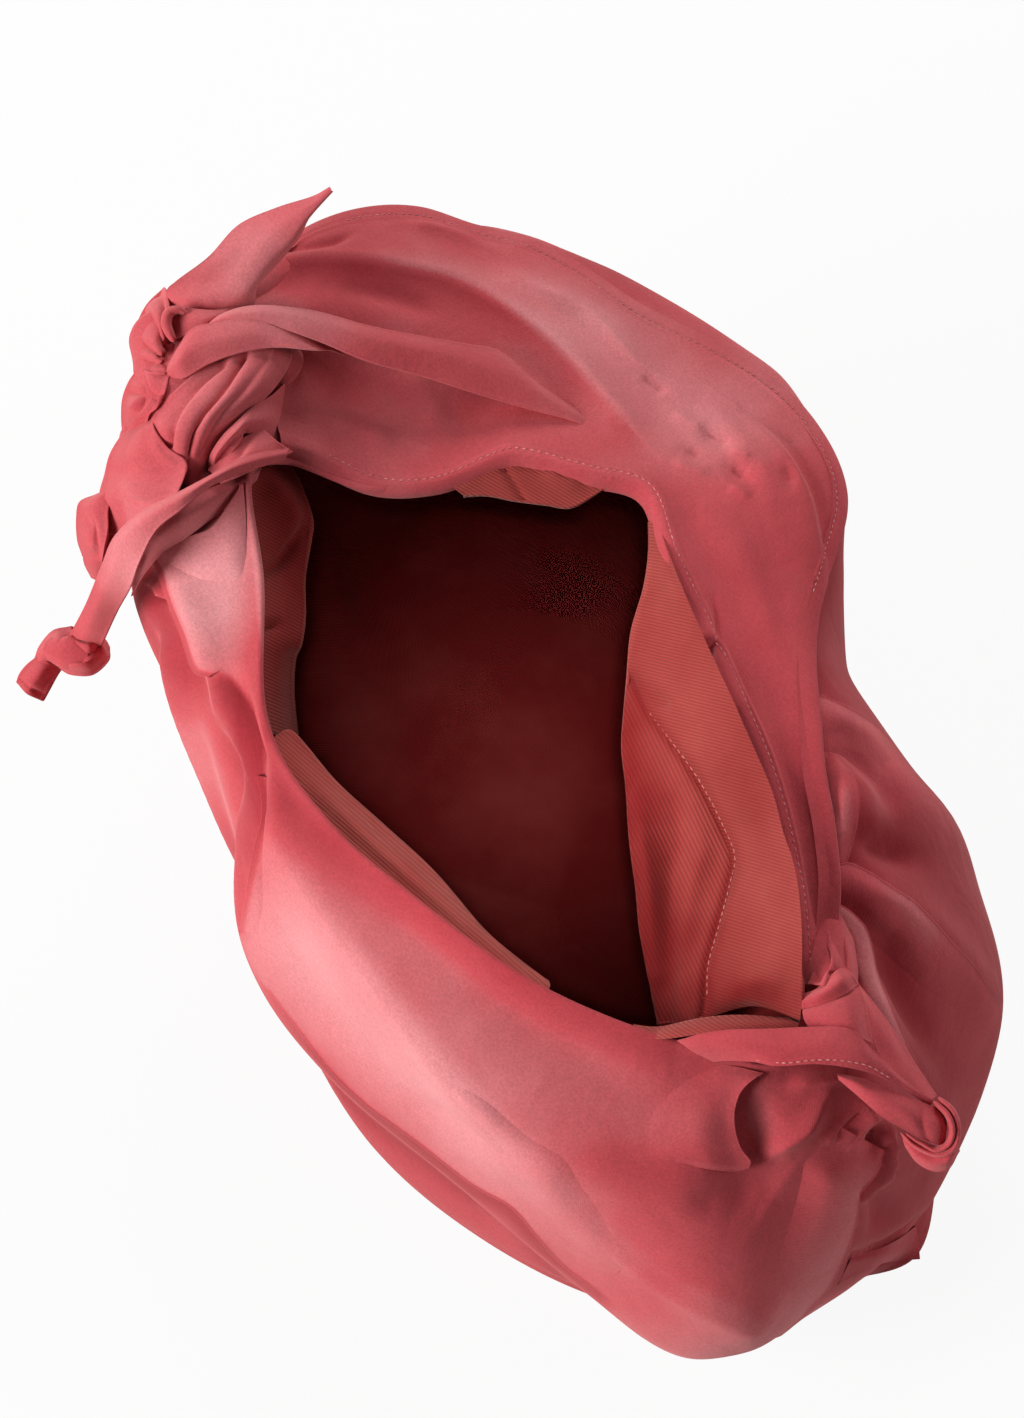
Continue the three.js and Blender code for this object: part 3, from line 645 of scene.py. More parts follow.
# The front panel's overhang at the left, the turn from the front to the right end, and the folds of the
# right back from the top down
OVERHANG_EDGE = [
    (268, 990), (298, 1030), (327, 1068), (364, 1104), (417, 1143), (474, 1187), (511, 1208), (537, 1238),
    (565, 1268), (597, 1291),
]
RIGHT_TURN = [
    (884, 1150), (877, 1174), (861, 1193), (859, 1213), (853, 1237), (841, 1266), (826, 1293), (806, 1312),
]
HIGH_FOLD = [(820, 695), (840, 703), (856, 711), (880, 728), (900, 751)]
MIDDLE_FOLD = [
    (836, 866), (848, 863), (871, 873), (891, 886), (915, 902), (933, 920), (954, 944), (974, 965),
    (989, 988),
]
LOW_FOLD = [
    (832, 902), (846, 908), (865, 926), (872, 944), (878, 973), (891, 1006), (909, 1047), (927, 1083),
]
# Painted highlights along crests and painted shade in the shelter of folds and under their edges, drawn as
# the folds are
POUCH_PAINTED_LIGHT = [
    (OVERHANG_EDGE, -0.55, 2, 15, 0.4, 0.6, 2),
    (FRONT_RIDGE, 0.08, 8, 56, 0.4, 0.8, 2),
    (FRONT_RIDGE[:6], -0.08, 44, 4, 0.4, 0.2, 2),
    (FRONT_HOLLOW, -0.3, 22, 26, 0.6, 0.8, 2),
    ([(247, 520), (254, 600), (262, 690), (266, 740)], -0.2, 3, 20, 0.3, 0.6, 2),
    ([(560, 1170), (620, 1165), (690, 1185), (740, 1190)], -0.15, 24, 30, 0.2, 0.3, 2),
    ([(752, 1095), (751, 1125), (764, 1150)], 0.12, 26, 3, 0.5, 0.5, 2),
    (RIGHT_TURN, -0.5, 34, 1, 0.6, 0.4, 2), (RIGHT_TURN, 0.2, 1, 26, 0.6, 0.4, 2),
    (HIGH_FOLD, -0.5, 26, 1, 1, 0.6, 2), (HIGH_FOLD, 0.25, 1, 40, 1, 1, 2),
    (MIDDLE_FOLD, -0.5, 40, 1, 1, 0.5, 2), (MIDDLE_FOLD, 0.25, 1, 44, 1, 0.6, 2),
    (LOW_FOLD, -0.5, 30, 1, 1, 0.5, 2), (LOW_FOLD, 0.22, 1, 26, 1, 0.6, 2),
    ([(895, 775), (925, 800), (945, 840), (950, 880)], 0.15, 26, 18, 0.5, 0.2, 2),
    (PANEL_EDGE, -0.4, 4, 46, 1, 0.6, 2),
]
# The outer edge of the handle band on the pouch, as station and level
BAND_OUTER_EDGE = np.array([
    [1.3, 2.72], [2.0, 2.68], [2.5, 2.62], [3.0, 2.56], [3.5, 2.36], [4.0, 2.14], [4.5, 2.07], [5.0, 2.04],
    [5.5, 2.08], [6.2, 2.2], [7.0, 2.26], [7.6, 2.2], [9.2, 2.0], [11.0, 2.2],
])
ABOVE_RIM = 4
COLUMNS = 420
# Rows from the foot to the belly, from there to the shoulder and from there to the rim
WALL_ROWS = (42, 44, 54)
BASE_RINGS = (0.0005, 0.3, 0.6, 0.8, 0.92)
FLOOR_GAP = 0.1
# Levels where folds begin at the foot and where drawn ones end, and how softly these end at the band
FOLDS_BEGIN = 0.15
DRAWN_END = 2.7
BAND_SHELTER = (-0.04, 0.06)
ROLL_RADIUS = 1.7
ROLL_STEPS = 9
HEM_DROPS = (2.0, 4.0, 6.0)
climbs = [np.linspace(start, start + 1, rows)[1:] for start, rows in enumerate(WALL_ROWS)]
wall_station, wall_level = np.meshgrid(
    np.arange(COLUMNS) * STATIONS / COLUMNS,
    np.concatenate([[0], *climbs]),
)
smooth_wall = pouch_at(wall_station, wall_level)
wall_normal = grid_normals(smooth_wall, closed=True)
band_edge = np.interp(wall_station, *BAND_OUTER_EDGE.T, ABOVE_RIM, ABOVE_RIM)
below_rim = 1 - smooth(wall_level, DRAWN_END, RIM_LEVEL)
below_band = 1 - smooth(wall_level - band_edge, *BAND_SHELTER)
wall_lift = pouch_lift(smooth_wall, wall_normal, wall_level)
wall_lift += seen_lift(smooth_wall, wall_normal, SEEN_POUCH_FOLDS) * below_rim * below_band
wall = smooth_wall + wall_normal * (wall_lift * smooth(wall_level, 0, FOLDS_BEGIN))[..., None]
wall[..., 2] = np.maximum(wall[..., 2], FLOOR_GAP)
folded_normal = grid_normals(wall, closed=True)


def pouch_base(height):
    """Rings of points from the middle of the base out to the foot."""
    return np.stack([wall[0] * [share, share, 1] + [0, 0, height] for share in BASE_RINGS])


def rolled_rim():
    """The rim turned inwards over a soft roll, and its hem behind that."""
    normal = folded_normal[-1]
    climb = unit(wall[-1] - wall[-2])
    centre = wall[-1] - normal * ROLL_RADIUS
    turns = np.linspace(0, math.pi, ROLL_STEPS)[1:]
    rows = [centre + ROLL_RADIUS * (normal * math.cos(turn) + climb * math.sin(turn)) for turn in turns]
    rows += [rows[-1] - climb * drop for drop in HEM_DROPS]
    return np.stack(rows)


# The lining, which sags into the mouth at the back and a little behind the front rim: how far, which way,
# and from which to which station and level
BACK_SAG = 52
BACK_FALL = np.array([-0.15, -0.92, -0.36])
BACK_SAG_STATIONS = (0.1, 1.4, 4.8, 6.0)
FRONT_SAG = 26
FRONT_FALL = np.array([0.1, 0.9, -0.42])
FRONT_SAG_STATIONS = (14.2, 15.2, 16.4, 17.6)
SAG_LEVELS = (1.3, 2.35, 2.35, RIM_LEVEL)
# Behind the roll of the rim it clears the hem, and below it comes closer to the outer cloth.
HEM_CLEARANCE = 0.4
LINING_EASE = 1.6
EASE_LEVELS = (2.9, 2.5)
LINING_FLOOR = 1.2
# Painted shade that darkens all of the lining inside the pouch
INSIDE_PAINTED_SHADE = -0.4
BACK_STATIONS = (0, 1, 6.5, 8)
INSIDE_FOLDS = [
    ([(330, 560), (350, 680), (400, 790)], 9, 16, 22, 0.4, 0.4, 1.6),
    ([(470, 540), (500, 640), (570, 740)], 8, 16, 24, 0.4, 0.4, 1.6),
    ([(410, 850), (480, 815), (560, 775), (640, 740)], 8, 10, 24, 0.3, 0.3, 1.3),
    ([(455, 895), (520, 870), (600, 850)], 6, 8, 20, 0.3, 0.3, 1.3),
]
# Painted highlights along the folds of the lining inside the mouth
INSIDE_PAINTED_HIGHLIGHTS = [
    ([(400, 850), (470, 815), (545, 780), (610, 750)], 0.14, 8, 34, 0.2, 0.2, 2),
    ([(450, 900), (520, 872), (600, 850)], 0.13, 8, 30, 0.2, 0.2, 2),
    ([(330, 600), (350, 700), (400, 800)], 0.14, 24, 30, 0.2, 0.2, 2),
    ([(560, 930), (600, 910), (640, 890)], 0.1, 10, 30, 0.2, 0.2, 2),
]


def sag(station, level):
    """The way that the lining falls into the mouth from each of its points."""
    fall = plateau(level, *SAG_LEVELS)
    back = plateau(station, *BACK_SAG_STATIONS) * BACK_SAG
    front = plateau(station, *FRONT_SAG_STATIONS) * FRONT_SAG
    return (BACK_FALL * back[..., None] + FRONT_FALL * front[..., None]) * fall[..., None]


lining_depth = 2 * ROLL_RADIUS + HEM_CLEARANCE - LINING_EASE * smooth(wall_level, *EASE_LEVELS)
inner = wall - folded_normal * lining_depth[..., None] + sag(wall_station, wall_level)
inner_normal = -grid_normals(inner, closed=True)
front_inside = 1 - plateau(wall_station, *BACK_STATIONS)
inner += inner_normal * (front_inside * seen_lift(inner, inner_normal, INSIDE_FOLDS))[..., None]
inner[..., 2] = np.maximum(inner[..., 2], LINING_FLOOR)
inner_rows = np.concatenate([pouch_base(LINING_FLOOR), inner[:-1]])
# The lining inside is painted dark for shade, with painted highlights along its folds
inner_painted_light = seen_lift(inner_rows, -grid_normals(inner_rows, closed=True), INSIDE_PAINTED_HIGHLIGHTS) + INSIDE_PAINTED_SHADE
lining_shape = Shape()
lining_shape.grid(inner_rows[:, ::2], closed=True, painted_light_and_nap=inner_painted_light[:, ::2])

# Folded cloth drawn on the photograph. Where a place has no surface behind it, one is looked for at these
# shares of the way to the middle of the mouth, and then away from it.
MOUTH_PIXEL = np.array([560.0, 795.0])
SEARCH_SHARES = np.linspace(0, 0.3, 61)


def turned_ends(control, depths, edge):
    """A net of points whose first and last rows turn away from the eye; edge keeps the turn tight."""
    first, last = control[0], control[-1]
    ahead = (control[1] - first) * edge
    behind = (control[-2] - last) * edge
    start = [first + ahead * 0.5 - BACK * depths[0], first, first + ahead] if depths[0] else [first]
    end = [last + behind, last, last + behind * 0.5 - BACK * depths[1]] if depths[1] else [last]
    return np.concatenate([start, control[1:-1], end])


def fine_net(control, rows, columns):
    """A smooth grid of points through a net of points."""
    wide = np.stack([along(line, columns) for line in control])
    return np.stack([along(wide[:, c], rows) for c in range(columns)], 1)


class Ground:
    """A surface on which folds of cloth are laid."""

    def __init__(self, grid, closed=True):
        faces = quads(grid.shape[0], grid.shape[1], closed)
        self.tree = BVHTree.FromPolygons(grid.reshape(-1, 3).tolist(), faces.tolist())

    def raised(self, net):
        """Points at (pixel across, pixel down, height above the surface towards the eye).

        Past the outline of the surface, the depth of the nearest of it towards the mouth is used, or
        away from the mouth where that finds nothing.
        """
        net = np.asarray(net, float)
        found = np.zeros(net.shape)
        for place in np.ndindex(net.shape[:-1]):
            pixel = net[place][:2]
            for share in [*SEARCH_SHARES, *-SEARCH_SHARES]:
                aim = from_pixels([*(pixel + (MOUTH_PIXEL - pixel) * share), 0.0])
                hit = self.tree.ray_cast(Vector(EYE), Vector(aim - EYE))
                if hit[0] is not None:
                    break
            ahead = unit(from_pixels([*pixel, 0.0]) - EYE)
            found[place] = EYE + ahead * (hit[3] - net[place][2])
        return found


def patch(
    shape, net, rows, columns, tuck, edge=0.14, folds=(), painted_light_and_nap=(), back=0.0,
    turn=0.0, weave=None, ground=None,
):
    """Cloth through a net of (pixel across, pixel down, height), its edges turned away from the eye.

    tuck gives the depth of that turn at the first and last column and the first and last row, in
    millimetres, and edge how tight it is. Folds, and painted light and shade with the nap, are drawn on it
    as on the pouch. back adds a far side, that much behind. turn and weave lay its weave. With a ground,
    heights count from it.
    """
    control = ground.raised(net) if ground else from_pixels(net)
    control = turned_ends(control, tuck[2:], edge)
    control = np.swapaxes(turned_ends(np.swapaxes(control, 0, 1), tuck[:2], edge), 0, 1)
    grid = fine_net(control, rows, columns)
    normal = grid_normals(grid)
    if (normal @ BACK).mean() < 0:
        grid = grid[::-1]
        normal = -normal[::-1]
    grid = grid + normal * seen_lift(grid, normal, folds)[..., None]
    shape.grid(grid, turn=turn, painted_light_and_nap=seen_lift(grid, normal, painted_light_and_nap), weave=weave)
    if back:
        across, down = np.meshgrid(np.linspace(-1, 1, columns), np.linspace(-1, 1, rows))
        depth = back * np.sqrt(np.clip((1 - across**4) * (1 - down**4), 0, 1))
        shape.grid((grid - BACK * depth[..., None])[::-1], turn=turn)
    return grid


outer = Shape()
outer_rows = np.concatenate([pouch_base(0), wall, rolled_rim()])
outer_normals = grid_normals(outer_rows, closed=True)
# The outer cloth, with painted light and shade drawn along its folds
outer.grid(outer_rows, closed=True, painted_light_and_nap=seen_lift(outer_rows, outer_normals, POUCH_PAINTED_LIGHT))
pouch_ground = Ground(wall)
smooth_ground = Ground(smooth_wall)


# A lip from where it lies down to its edge: (share of its reach, sink in millimetres, share of its height)
LIP_PROFILE = ((1.0, -1.5, 0.0), (0.75, -0.4, 0.26), (0.48, 0.0, 0.7), (0.2, 0.0, 0.97), (0.0, 0.0, 1.0))
LIP_COLUMNS = 40
LIP_FADE = 0.4
LIP_SINK = 0.8


def lip(path, towards, reach, height, ends, tuck, rows=70, ground=pouch_ground):
    """A fold whose edge follows a path of pixels, and which lies down on the pouch on one side.

    towards is the direction in pixels from the edge to where it lies down, reach how far that is,
    and ends the share of its height left at the ends of the path.
    """
    share = np.linspace(0, 1, len(path))
    start, end = ends
    rise = end_fade(share, start, end, LIP_FADE)
    net = [
        [(across + towards[0] * reach * away, down + towards[1] * reach * away,
          sink - LIP_SINK * (1 - up) + height * top * up)
         for away, sink, top in LIP_PROFILE]
        for (across, down), up in zip(path, rise)
    ]
    patch(outer, net, rows, LIP_COLUMNS, tuck=(0, tuck, 0, 0), edge=0.2, ground=ground, painted_light_and_nap=POUCH_PAINTED_LIGHT)


# The swag, where the front panel's right end hangs over a hollow
SWAG = [
    [(684, 1056, -1.5), (714, 1063, -0.5), (738, 1067, 1), (755, 1071, 2), (764, 1073, 2)],
    [(658, 1077, -1.5), (693, 1077, 0), (723, 1077, 2.4), (745, 1078, 3.6), (754, 1079, 4.2)],
    [(640, 1095, -1.5), (678, 1094, 0.5), (708, 1093, 3), (732, 1092, 4.5), (741, 1092, 5.2)],
    [(628, 1112, -1.5), (672, 1112, 0.5), (702, 1111, 3), (726, 1110, 4.8), (735, 1110, 5.6)],
    [(624, 1130, -1.5), (669, 1129, 0.6), (701, 1129, 3.4), (726, 1127, 5), (735, 1127, 5.8)],
    [(622, 1146, -1.5), (669, 1147, 0.6), (702, 1148, 3.4), (730, 1148, 5.2), (741, 1148, 6)],
    [(625, 1155, -1.5), (671, 1157, 0.6), (706, 1163, 3), (738, 1164, 4.8), (751, 1162, 5.4)],
    [(631, 1160, -2), (672, 1161, 0), (708, 1169, 1.6), (738, 1171, 4), (749, 1168, 5)],
]
patch(outer, SWAG, rows=80, columns=90, tuck=(0, 4, 0, 4), edge=0.2, ground=pouch_ground, painted_light_and_nap=POUCH_PAINTED_LIGHT)
# The front panel's overhang at the left, and the turn from the front to the right end
lip(OVERHANG_EDGE, (0.75, -0.66), reach=84, height=9, ends=(0, 0), tuck=14)
lip(RIGHT_TURN, (-0.85, -0.45), reach=76, height=11, ends=(0.3, 0), tuck=12)
# The left edges of the standing panel and of the front panel
STANDING_EDGE = [(across - 2, down + 1) for across, down in PANEL_EDGE[:5]]
FRONT_EDGE = [(across - 2, down) for across, down in PANEL_EDGE[8:]]
lip(
    STANDING_EDGE, (0.85, -0.5), reach=18, height=2.5, ends=(0.6, 0), tuck=9, rows=90, ground=smooth_ground,
)
lip(FRONT_EDGE, (1.0, 0.25), reach=22, height=3, ends=(0, 0), tuck=9, rows=80, ground=smooth_ground)
# The flap at the top of the standing panel
PANEL_FLAP = [
    [(155, 558, 2), (166, 572, 2), (178, 590, -1)],
    [(164, 545, 5), (184, 560, 4), (205, 587, -1)],
    [(190, 536, 6), (208, 553, 4.5), (228, 587, -1)],
    [(212, 527, 6), (226, 546, 4.5), (240, 582, -0.6)],
    [(231, 501, 4.5), (238, 524, 3), (245, 562, 0)],
    [(243, 483, 1.5), (245, 503, 0.8), (247, 545, 0)],
]
patch(outer, PANEL_FLAP, rows=60, columns=50, tuck=(8, 0, 3, 0), edge=0.2, ground=smooth_ground)
# Folds of the right back, which spring from beside the band
lip(HIGH_FOLD, (-0.55, 0.83), reach=60, height=8, ends=(0.7, 0), tuck=12)
lip(MIDDLE_FOLD, (-0.55, 0.83), reach=64, height=10, ends=(0.7, 0.1), tuck=12)
lip(LOW_FOLD, (-0.95, 0.3), reach=34, height=8, ends=(0.6, 0), tuck=10)
BESIDE_BAND = [
    [(828, 751, 0), (834, 754, 1), (840, 759, 2)],
    [(824, 772, 1), (839, 771, 7), (854, 777, 9)],
    [(824, 794, 2), (842, 793, 10), (859, 793, 10)],
    [(824, 820, 2), (842, 820, 10), (858, 820, 9)],
    [(824, 843, 2), (840, 843, 9), (853, 842, 8)],
    [(824, 865, 2), (836, 865, 5), (846, 864, 4)],
    [(825, 879, 0), (831, 877, 1), (836, 876, 1)],
]
# A painted highlight along the crest of the fold beside the band
BESIDE_BAND_PAINTED_HIGHLIGHT = [
    ([(841, 769), (846, 796), (844, 822), (840, 852)], 0.3, 10, 12, 0.5, 0.5, 2),
]
patch(
    outer, BESIDE_BAND, rows=60, columns=40, tuck=(0, 8, 3, 3), edge=0.2,
    ground=pouch_ground, painted_light_and_nap=BESIDE_BAND_PAINTED_HIGHLIGHT,
)
# The corner of the cloth that spreads on the floor at the right
FLOOR_CORNER = [
    [(852, 1256, 0), (883, 1247, 3), (900, 1238, 4), (916, 1226, 4)],
    [(849, 1263, 2), (880, 1256, 5), (903, 1254, 6), (919, 1248, 6)],
    [(838, 1285, 1), (868, 1269, 2), (897, 1261, 3), (920, 1259, 5)],
]
patch(
    outer, FLOOR_CORNER, rows=40, columns=50, tuck=(0, 4, 3, 4), edge=0.2,
    ground=pouch_ground, painted_light_and_nap=POUCH_PAINTED_LIGHT,
)
outer_cloth = make_piece("outer_cloth", outer, rose, "outer_cloth")

# What is seen of the lining at the mouth: the facing that falls in at the back, in two panels sewn together
SEAM = [
    (629, 679), (646, 712), (672, 746), (696, 780), (718, 821), (732, 857), (727, 884), (716, 926),
    (705, 967), (704, 997), (702, 1018),
]
# How the weave of the left panel lies against that of the right, and its size
STEEP_TURN = -2.27
STEEP_SIZE = 0.8
FACING_FOLDS = [
    (SEAM, -2.2, 3, 4, 0.6, 1, 1.3),
    ([(649, 734), (669, 790), (678, 834), (672, 858), (667, 929), (669, 1018)], -3, 12, 14, 0.1, 0.7, 1.8),
    ([(664, 751), (690, 805), (705, 849), (699, 870), (690, 929), (684, 1018)], 2.5, 10, 12, 0.1, 0.7, 1.8),
    ([(637, 790), (646, 849), (652, 899), (658, 973)], 4, 10, 12, 0.2, 0.5, 1.8),
    ([(634, 680), (655, 698), (678, 704)], -3, 9, 9, 0.5, 0.2, 1.8),
    ([(658, 686), (696, 716), (726, 754)], 3, 12, 14, 0.2, 0.2, 1.8),
    ([(738, 988), (767, 979), (794, 988)], 4, 12, 12, 0.3, 0.4, 1.8),
]


def facing_weave(points):
    """The weave of the facing's two panels, steep to the left of the seam and flatter to its right."""
    uv = flat_weave(points)
    middle = to_pixels((points[:-1, :-1] + points[1:, 1:]) / 2).reshape(-1, 2)
    seam_across, seam_down = np.transpose(SEAM)
    left = middle[:, 0] < np.interp(middle[:, 1], seam_down, seam_across)
    return np.where(left[:, None, None], uv @ turning(STEEP_TURN) * STEEP_SIZE, uv)


# Painted shade along the facing's left edge and in its folds, a painted highlight on one fold, and darker
# along the seam
FACING_PAINTED_LIGHT = [
    ([(645, 600), (624, 712), (626, 790), (641, 929), (655, 1010)], -0.35, 26, 4, 0.4, 0.8, 2),
    ([(640, 700), (655, 790), (660, 860), (668, 940), (672, 1018)], -0.14, 26, 20, 0.3, 0.8, 2),
    (SEAM, -0.25, 8, 5, 0.5, 1, 2),
    ([(690, 900), (692, 960), (690, 1015)], -0.22, 40, 40, 0.3, 1, 2),
    ([(700, 760), (740, 850), (760, 900), (770, 950)], 0.12, 24, 24, 0.3, 0.3, 2),
    ([(715, 1000), (750, 996), (790, 1005)], -0.3, 20, 14, 0.3, 0.3, 2),
]
FACING = [
    [(649, 521, 196), (652, 522, 198), (655, 524, 199), (658, 527, 200), (661, 531, 201)],
    [(649, 550, 192), (655, 550, 196), (661, 552, 199), (668, 559, 201), (677, 574, 207)],
    [(644, 586, 190), (655, 586, 194), (665, 589, 199), (678, 601, 204), (693, 612, 207)],
    [(631, 633, 184), (649, 633, 189), (667, 639, 194), (688, 648, 199), (713, 657, 208)],
    [(627, 677, 178), (635, 683, 182), (659, 686, 189), (691, 695, 196), (729, 691, 210)],
    [(624, 712, 174), (646, 712, 181), (674, 719, 188), (709, 725, 196), (744, 725, 209)],
    [(622, 748, 170), (649, 748, 177), (672, 746, 183), (718, 754, 197), (759, 759, 208)],
    [(626, 784, 167), (658, 784, 173), (697, 780, 182), (733, 790, 196), (773, 793, 208)],
    [(630, 825, 164), (673, 828, 170), (719, 821, 180), (754, 828, 195), (783, 831, 208)],
    [(635, 864, 162), (685, 867, 168), (733, 857, 178), (768, 864, 195), (793, 861, 208)],
    [(639, 893, 160), (691, 893, 166), (728, 884, 176), (768, 890, 194), (799, 893, 206)],
    [(641, 929, 159), (685, 932, 165), (717, 926, 174), (762, 932, 187), (802, 935, 203)],
    [(647, 964, 158), (685, 967, 164), (706, 967, 171), (757, 970, 182), (802, 970, 195)],
    [(652, 994, 158), (679, 995, 163), (705, 997, 168), (751, 997, 174), (802, 1000, 190)],
    [(658, 1025, 158), (680, 1023, 162), (703, 1019, 165), (751, 1006, 168), (800, 1020, 186)],
]
facing = patch(
    lining_shape, FACING, rows=200, columns=120, tuck=(14, 1.5, 3, 5), edge=0.06,
    folds=FACING_FOLDS, turn=0.78, weave=facing_weave, painted_light_and_nap=FACING_PAINTED_LIGHT,
)
# The strip behind the front rim at the right
FRONT_RIGHT_STRIP = [
    [(634, 1026, 172), (635, 1031, 175), (638, 1037, 177)],
    [(658, 1028, 176), (659, 1033, 180), (662, 1039, 181)],
    [(702, 1019, 180), (702, 1026, 184), (702, 1034, 185)],
    [(738, 1016, 181), (738, 1023, 186), (738, 1031, 187)],
    [(779, 1018, 181), (778, 1023, 186), (776, 1031, 187)],
    [(801, 1020, 180), (800, 1023, 184), (797, 1028, 185)],
]
patch(lining_shape, FRONT_RIGHT_STRIP, rows=80, columns=30, tuck=(8, 5, 4, 4), turn=1.0, weave=flat_weave)
# The strip behind the front rim at the left
FRONT_LEFT_STRIP = [
    [(270, 745, 190), (273, 740, 190), (276, 735, 189)],
    [(276, 788, 188), (284, 765, 187), (290, 731, 183)],
    [(326, 825, 186), (332, 803, 185), (335, 782, 180)],
    [(371, 863, 185), (377, 841, 184), (381, 824, 178)],
    [(429, 913, 184), (432, 891, 183), (433, 872, 177)],
    [(489, 961, 183), (489, 946, 182), (487, 935, 177)],
    [(520, 978, 182), (520, 971, 181), (520, 963, 178)],
    [(548, 992, 180), (549, 989, 180), (550, 986, 179)],
]
FRONT_LEFT_STRIP_CREASES = [
    ([(367, 812), (382, 840), (392, 872)], -1.5, 3, 3, 0.6, 0.6, 1.3),
    ([(290, 760), (340, 815), (400, 868), (470, 930)], 2.5, 9, 9, 0.3, 0.3, 2),
]
patch(
    lining_shape, FRONT_LEFT_STRIP, rows=90, columns=40, tuck=(4, 25, 4, 4), turn=1.22, weave=flat_weave,
    folds=FRONT_LEFT_STRIP_CREASES,
)
# The strip under the band's inner hem
UNDER_HEM_STRIP = [
    [(454, 487, 200), (458, 491, 199), (463, 495, 197)],
    [(479, 459, 202), (482, 475, 201), (488, 495, 196)],
    [(510, 449, 202), (512, 473, 201), (514, 500, 194)],
    [(540, 449, 201), (543, 475, 200), (545, 504, 193)],
    [(565, 455, 200), (568, 479, 199), (571, 507, 192)],
    [(590, 465, 199), (592, 481, 198), (594, 495, 195)],
    [(608, 476, 199), (607, 481, 198), (606, 487, 197)],
]
UNDER_HEM_STRIP_CREASES = [
    ([(498, 452), (508, 474), (523, 498)], -2, 3, 3, 1, 1, 1.2),
    ([(540, 462), (560, 480), (590, 484)], 2, 8, 8, 0.3, 0.3, 1.8),
]
patch(
    lining_shape, UNDER_HEM_STRIP, rows=80, columns=50, tuck=(6, 20, 4, 4), turn=1.04, weave=flat_weave,
    folds=UNDER_HEM_STRIP_CREASES,
)
# The folds at the left of the mouth
LEFT_LINING = [
    [(252, 466, 214), (268, 464, 211), (285, 457, 206)],
    [(250, 492, 209), (277, 486, 205), (300, 484, 197)],
    [(247, 521, 206), (277, 518, 199), (312, 521, 187)],
    [(247, 551, 203), (273, 551, 193), (310, 540, 185)],
    [(249, 577, 199), (277, 577, 191), (304, 577, 181)],
    [(251, 610, 196), (281, 614, 187), (304, 618, 177)],
    [(254, 636, 193), (281, 640, 184), (300, 644, 173)],
    [(256, 659, 190), (279, 659, 179), (294, 657, 164)],
    [(258, 690, 186), (279, 692, 168), (292, 692, 146)],
    [(262, 732, 180), (282, 735, 154), (296, 735, 126)],
]
# Painted shade over the folds at the left of the mouth
LEFT_LINING_PAINTED_SHADE = [
    ([(285, 470), (290, 560), (285, 640), (282, 720)], -0.36, 40, 40, 1, 1, 2),
]
LEFT_LINING_CREASES = [
    ([(256, 574), (282, 559), (301, 532)], -6, 6, 8, 0.8, 0.8, 1.3),
    ([(261, 631), (269, 626), (278, 624)], -6, 4, 4, 0.7, 0.6, 1.3),
    ([(267, 473), (286, 503), (297, 532)], 4, 10, 12, 0.3, 0.5, 1.6),
]
patch(
    lining_shape, LEFT_LINING, rows=90, columns=60, tuck=(5, 25, 5, 10), turn=1.0, weave=flat_weave,
    folds=LEFT_LINING_CREASES, painted_light_and_nap=LEFT_LINING_PAINTED_SHADE,
)
lining = make_piece("lining", lining_shape, coral, "lining")


# Rolls of cloth: the share at each end that is rounded off, and the least of its size there, squared
ROLL_ROWS = 48
ROLL_SIDES = 56
ROLL_CAP = 0.2
ROLL_TIP = 0.0004
# Stitches: points along and round a strand, and the least of its thickness at its ends, squared
STRAND_STEPS = np.linspace(-1, 1, 7)
STRAND_TURNS = np.linspace(0, 2 * math.pi, 6, endpoint=False)
STRAND_TIP = 0.02
STRAND_HEIGHT = 0.45
STRAND_BOW = 0.5
# How far a drawn line of stitches lies above the cloth
THREAD_LIFT = 0.2


def roll(shape, path, half_widths, half_height):
    """A gathered roll of cloth along (pixel across, pixel down, height), round at its ends.

    half_widths, one for each point of the path, and half_height are in millimetres.
    """
    line = along(from_pixels(path), ROLL_ROWS)
    ahead = unit(np.gradient(line, axis=0))
    across = unit(np.cross(ahead, BACK))
    over = np.cross(across, ahead)
    share = np.linspace(0, 1, ROLL_ROWS)
    wide = np.interp(share, np.linspace(0, 1, len(half_widths)), half_widths)
    into_cap = np.clip((np.abs(2 * share - 1) - (1 - ROLL_CAP)) / ROLL_CAP, 0, 1)
    cap = np.sqrt(np.clip(1 - into_cap**2, ROLL_TIP, 1))
    angle = np.linspace(0, 2 * math.pi, ROLL_SIDES, endpoint=False)[:, None]
    grid = (
        line[:, None]
        + across[:, None] * (cap * wide)[:, None, None] * np.cos(angle)
        + over[:, None] * (cap * half_height)[:, None, None] * np.sin(angle)
    )
    shape.grid(grid[:, ::-1], closed=True)


def stitches(shape, line, normals, pitch=3.2, length=2.1, radius=0.3):
    """Thread stitches along points on the cloth, each a short bowed strand."""
    run = np.concatenate([[0], np.cumsum(np.linalg.norm(np.diff(line, axis=0), axis=1))])
    middles = np.arange(pitch / 2, run[-1], pitch)

    def sample(values, where):
        return np.stack([np.interp(where, run, values[:, axis]) for axis in range(3)], -1)

    ups = unit(sample(normals, middles))
    ahead = sample(line, np.minimum(middles + 1, run[-1]))
    headings = unit(ahead - sample(line, np.maximum(middles - 1, 0)))
    sides = unit(np.cross(ups, headings))
    for centre, up, heading, side in zip(sample(line, middles), ups, headings, sides):
        rows = []
        for step in STRAND_STEPS:
            bow = radius * (STRAND_HEIGHT - STRAND_BOW * step**2)
            core = centre + heading * step * length / 2 + up * bow
            thick = radius * math.sqrt(max(1 - step**2, STRAND_TIP))
            ring = [side * math.cos(turn) + up * math.sin(turn) for turn in STRAND_TURNS]
            rows.append(core + thick * np.array(ring))
        shape.grid(np.array(rows), closed=True)


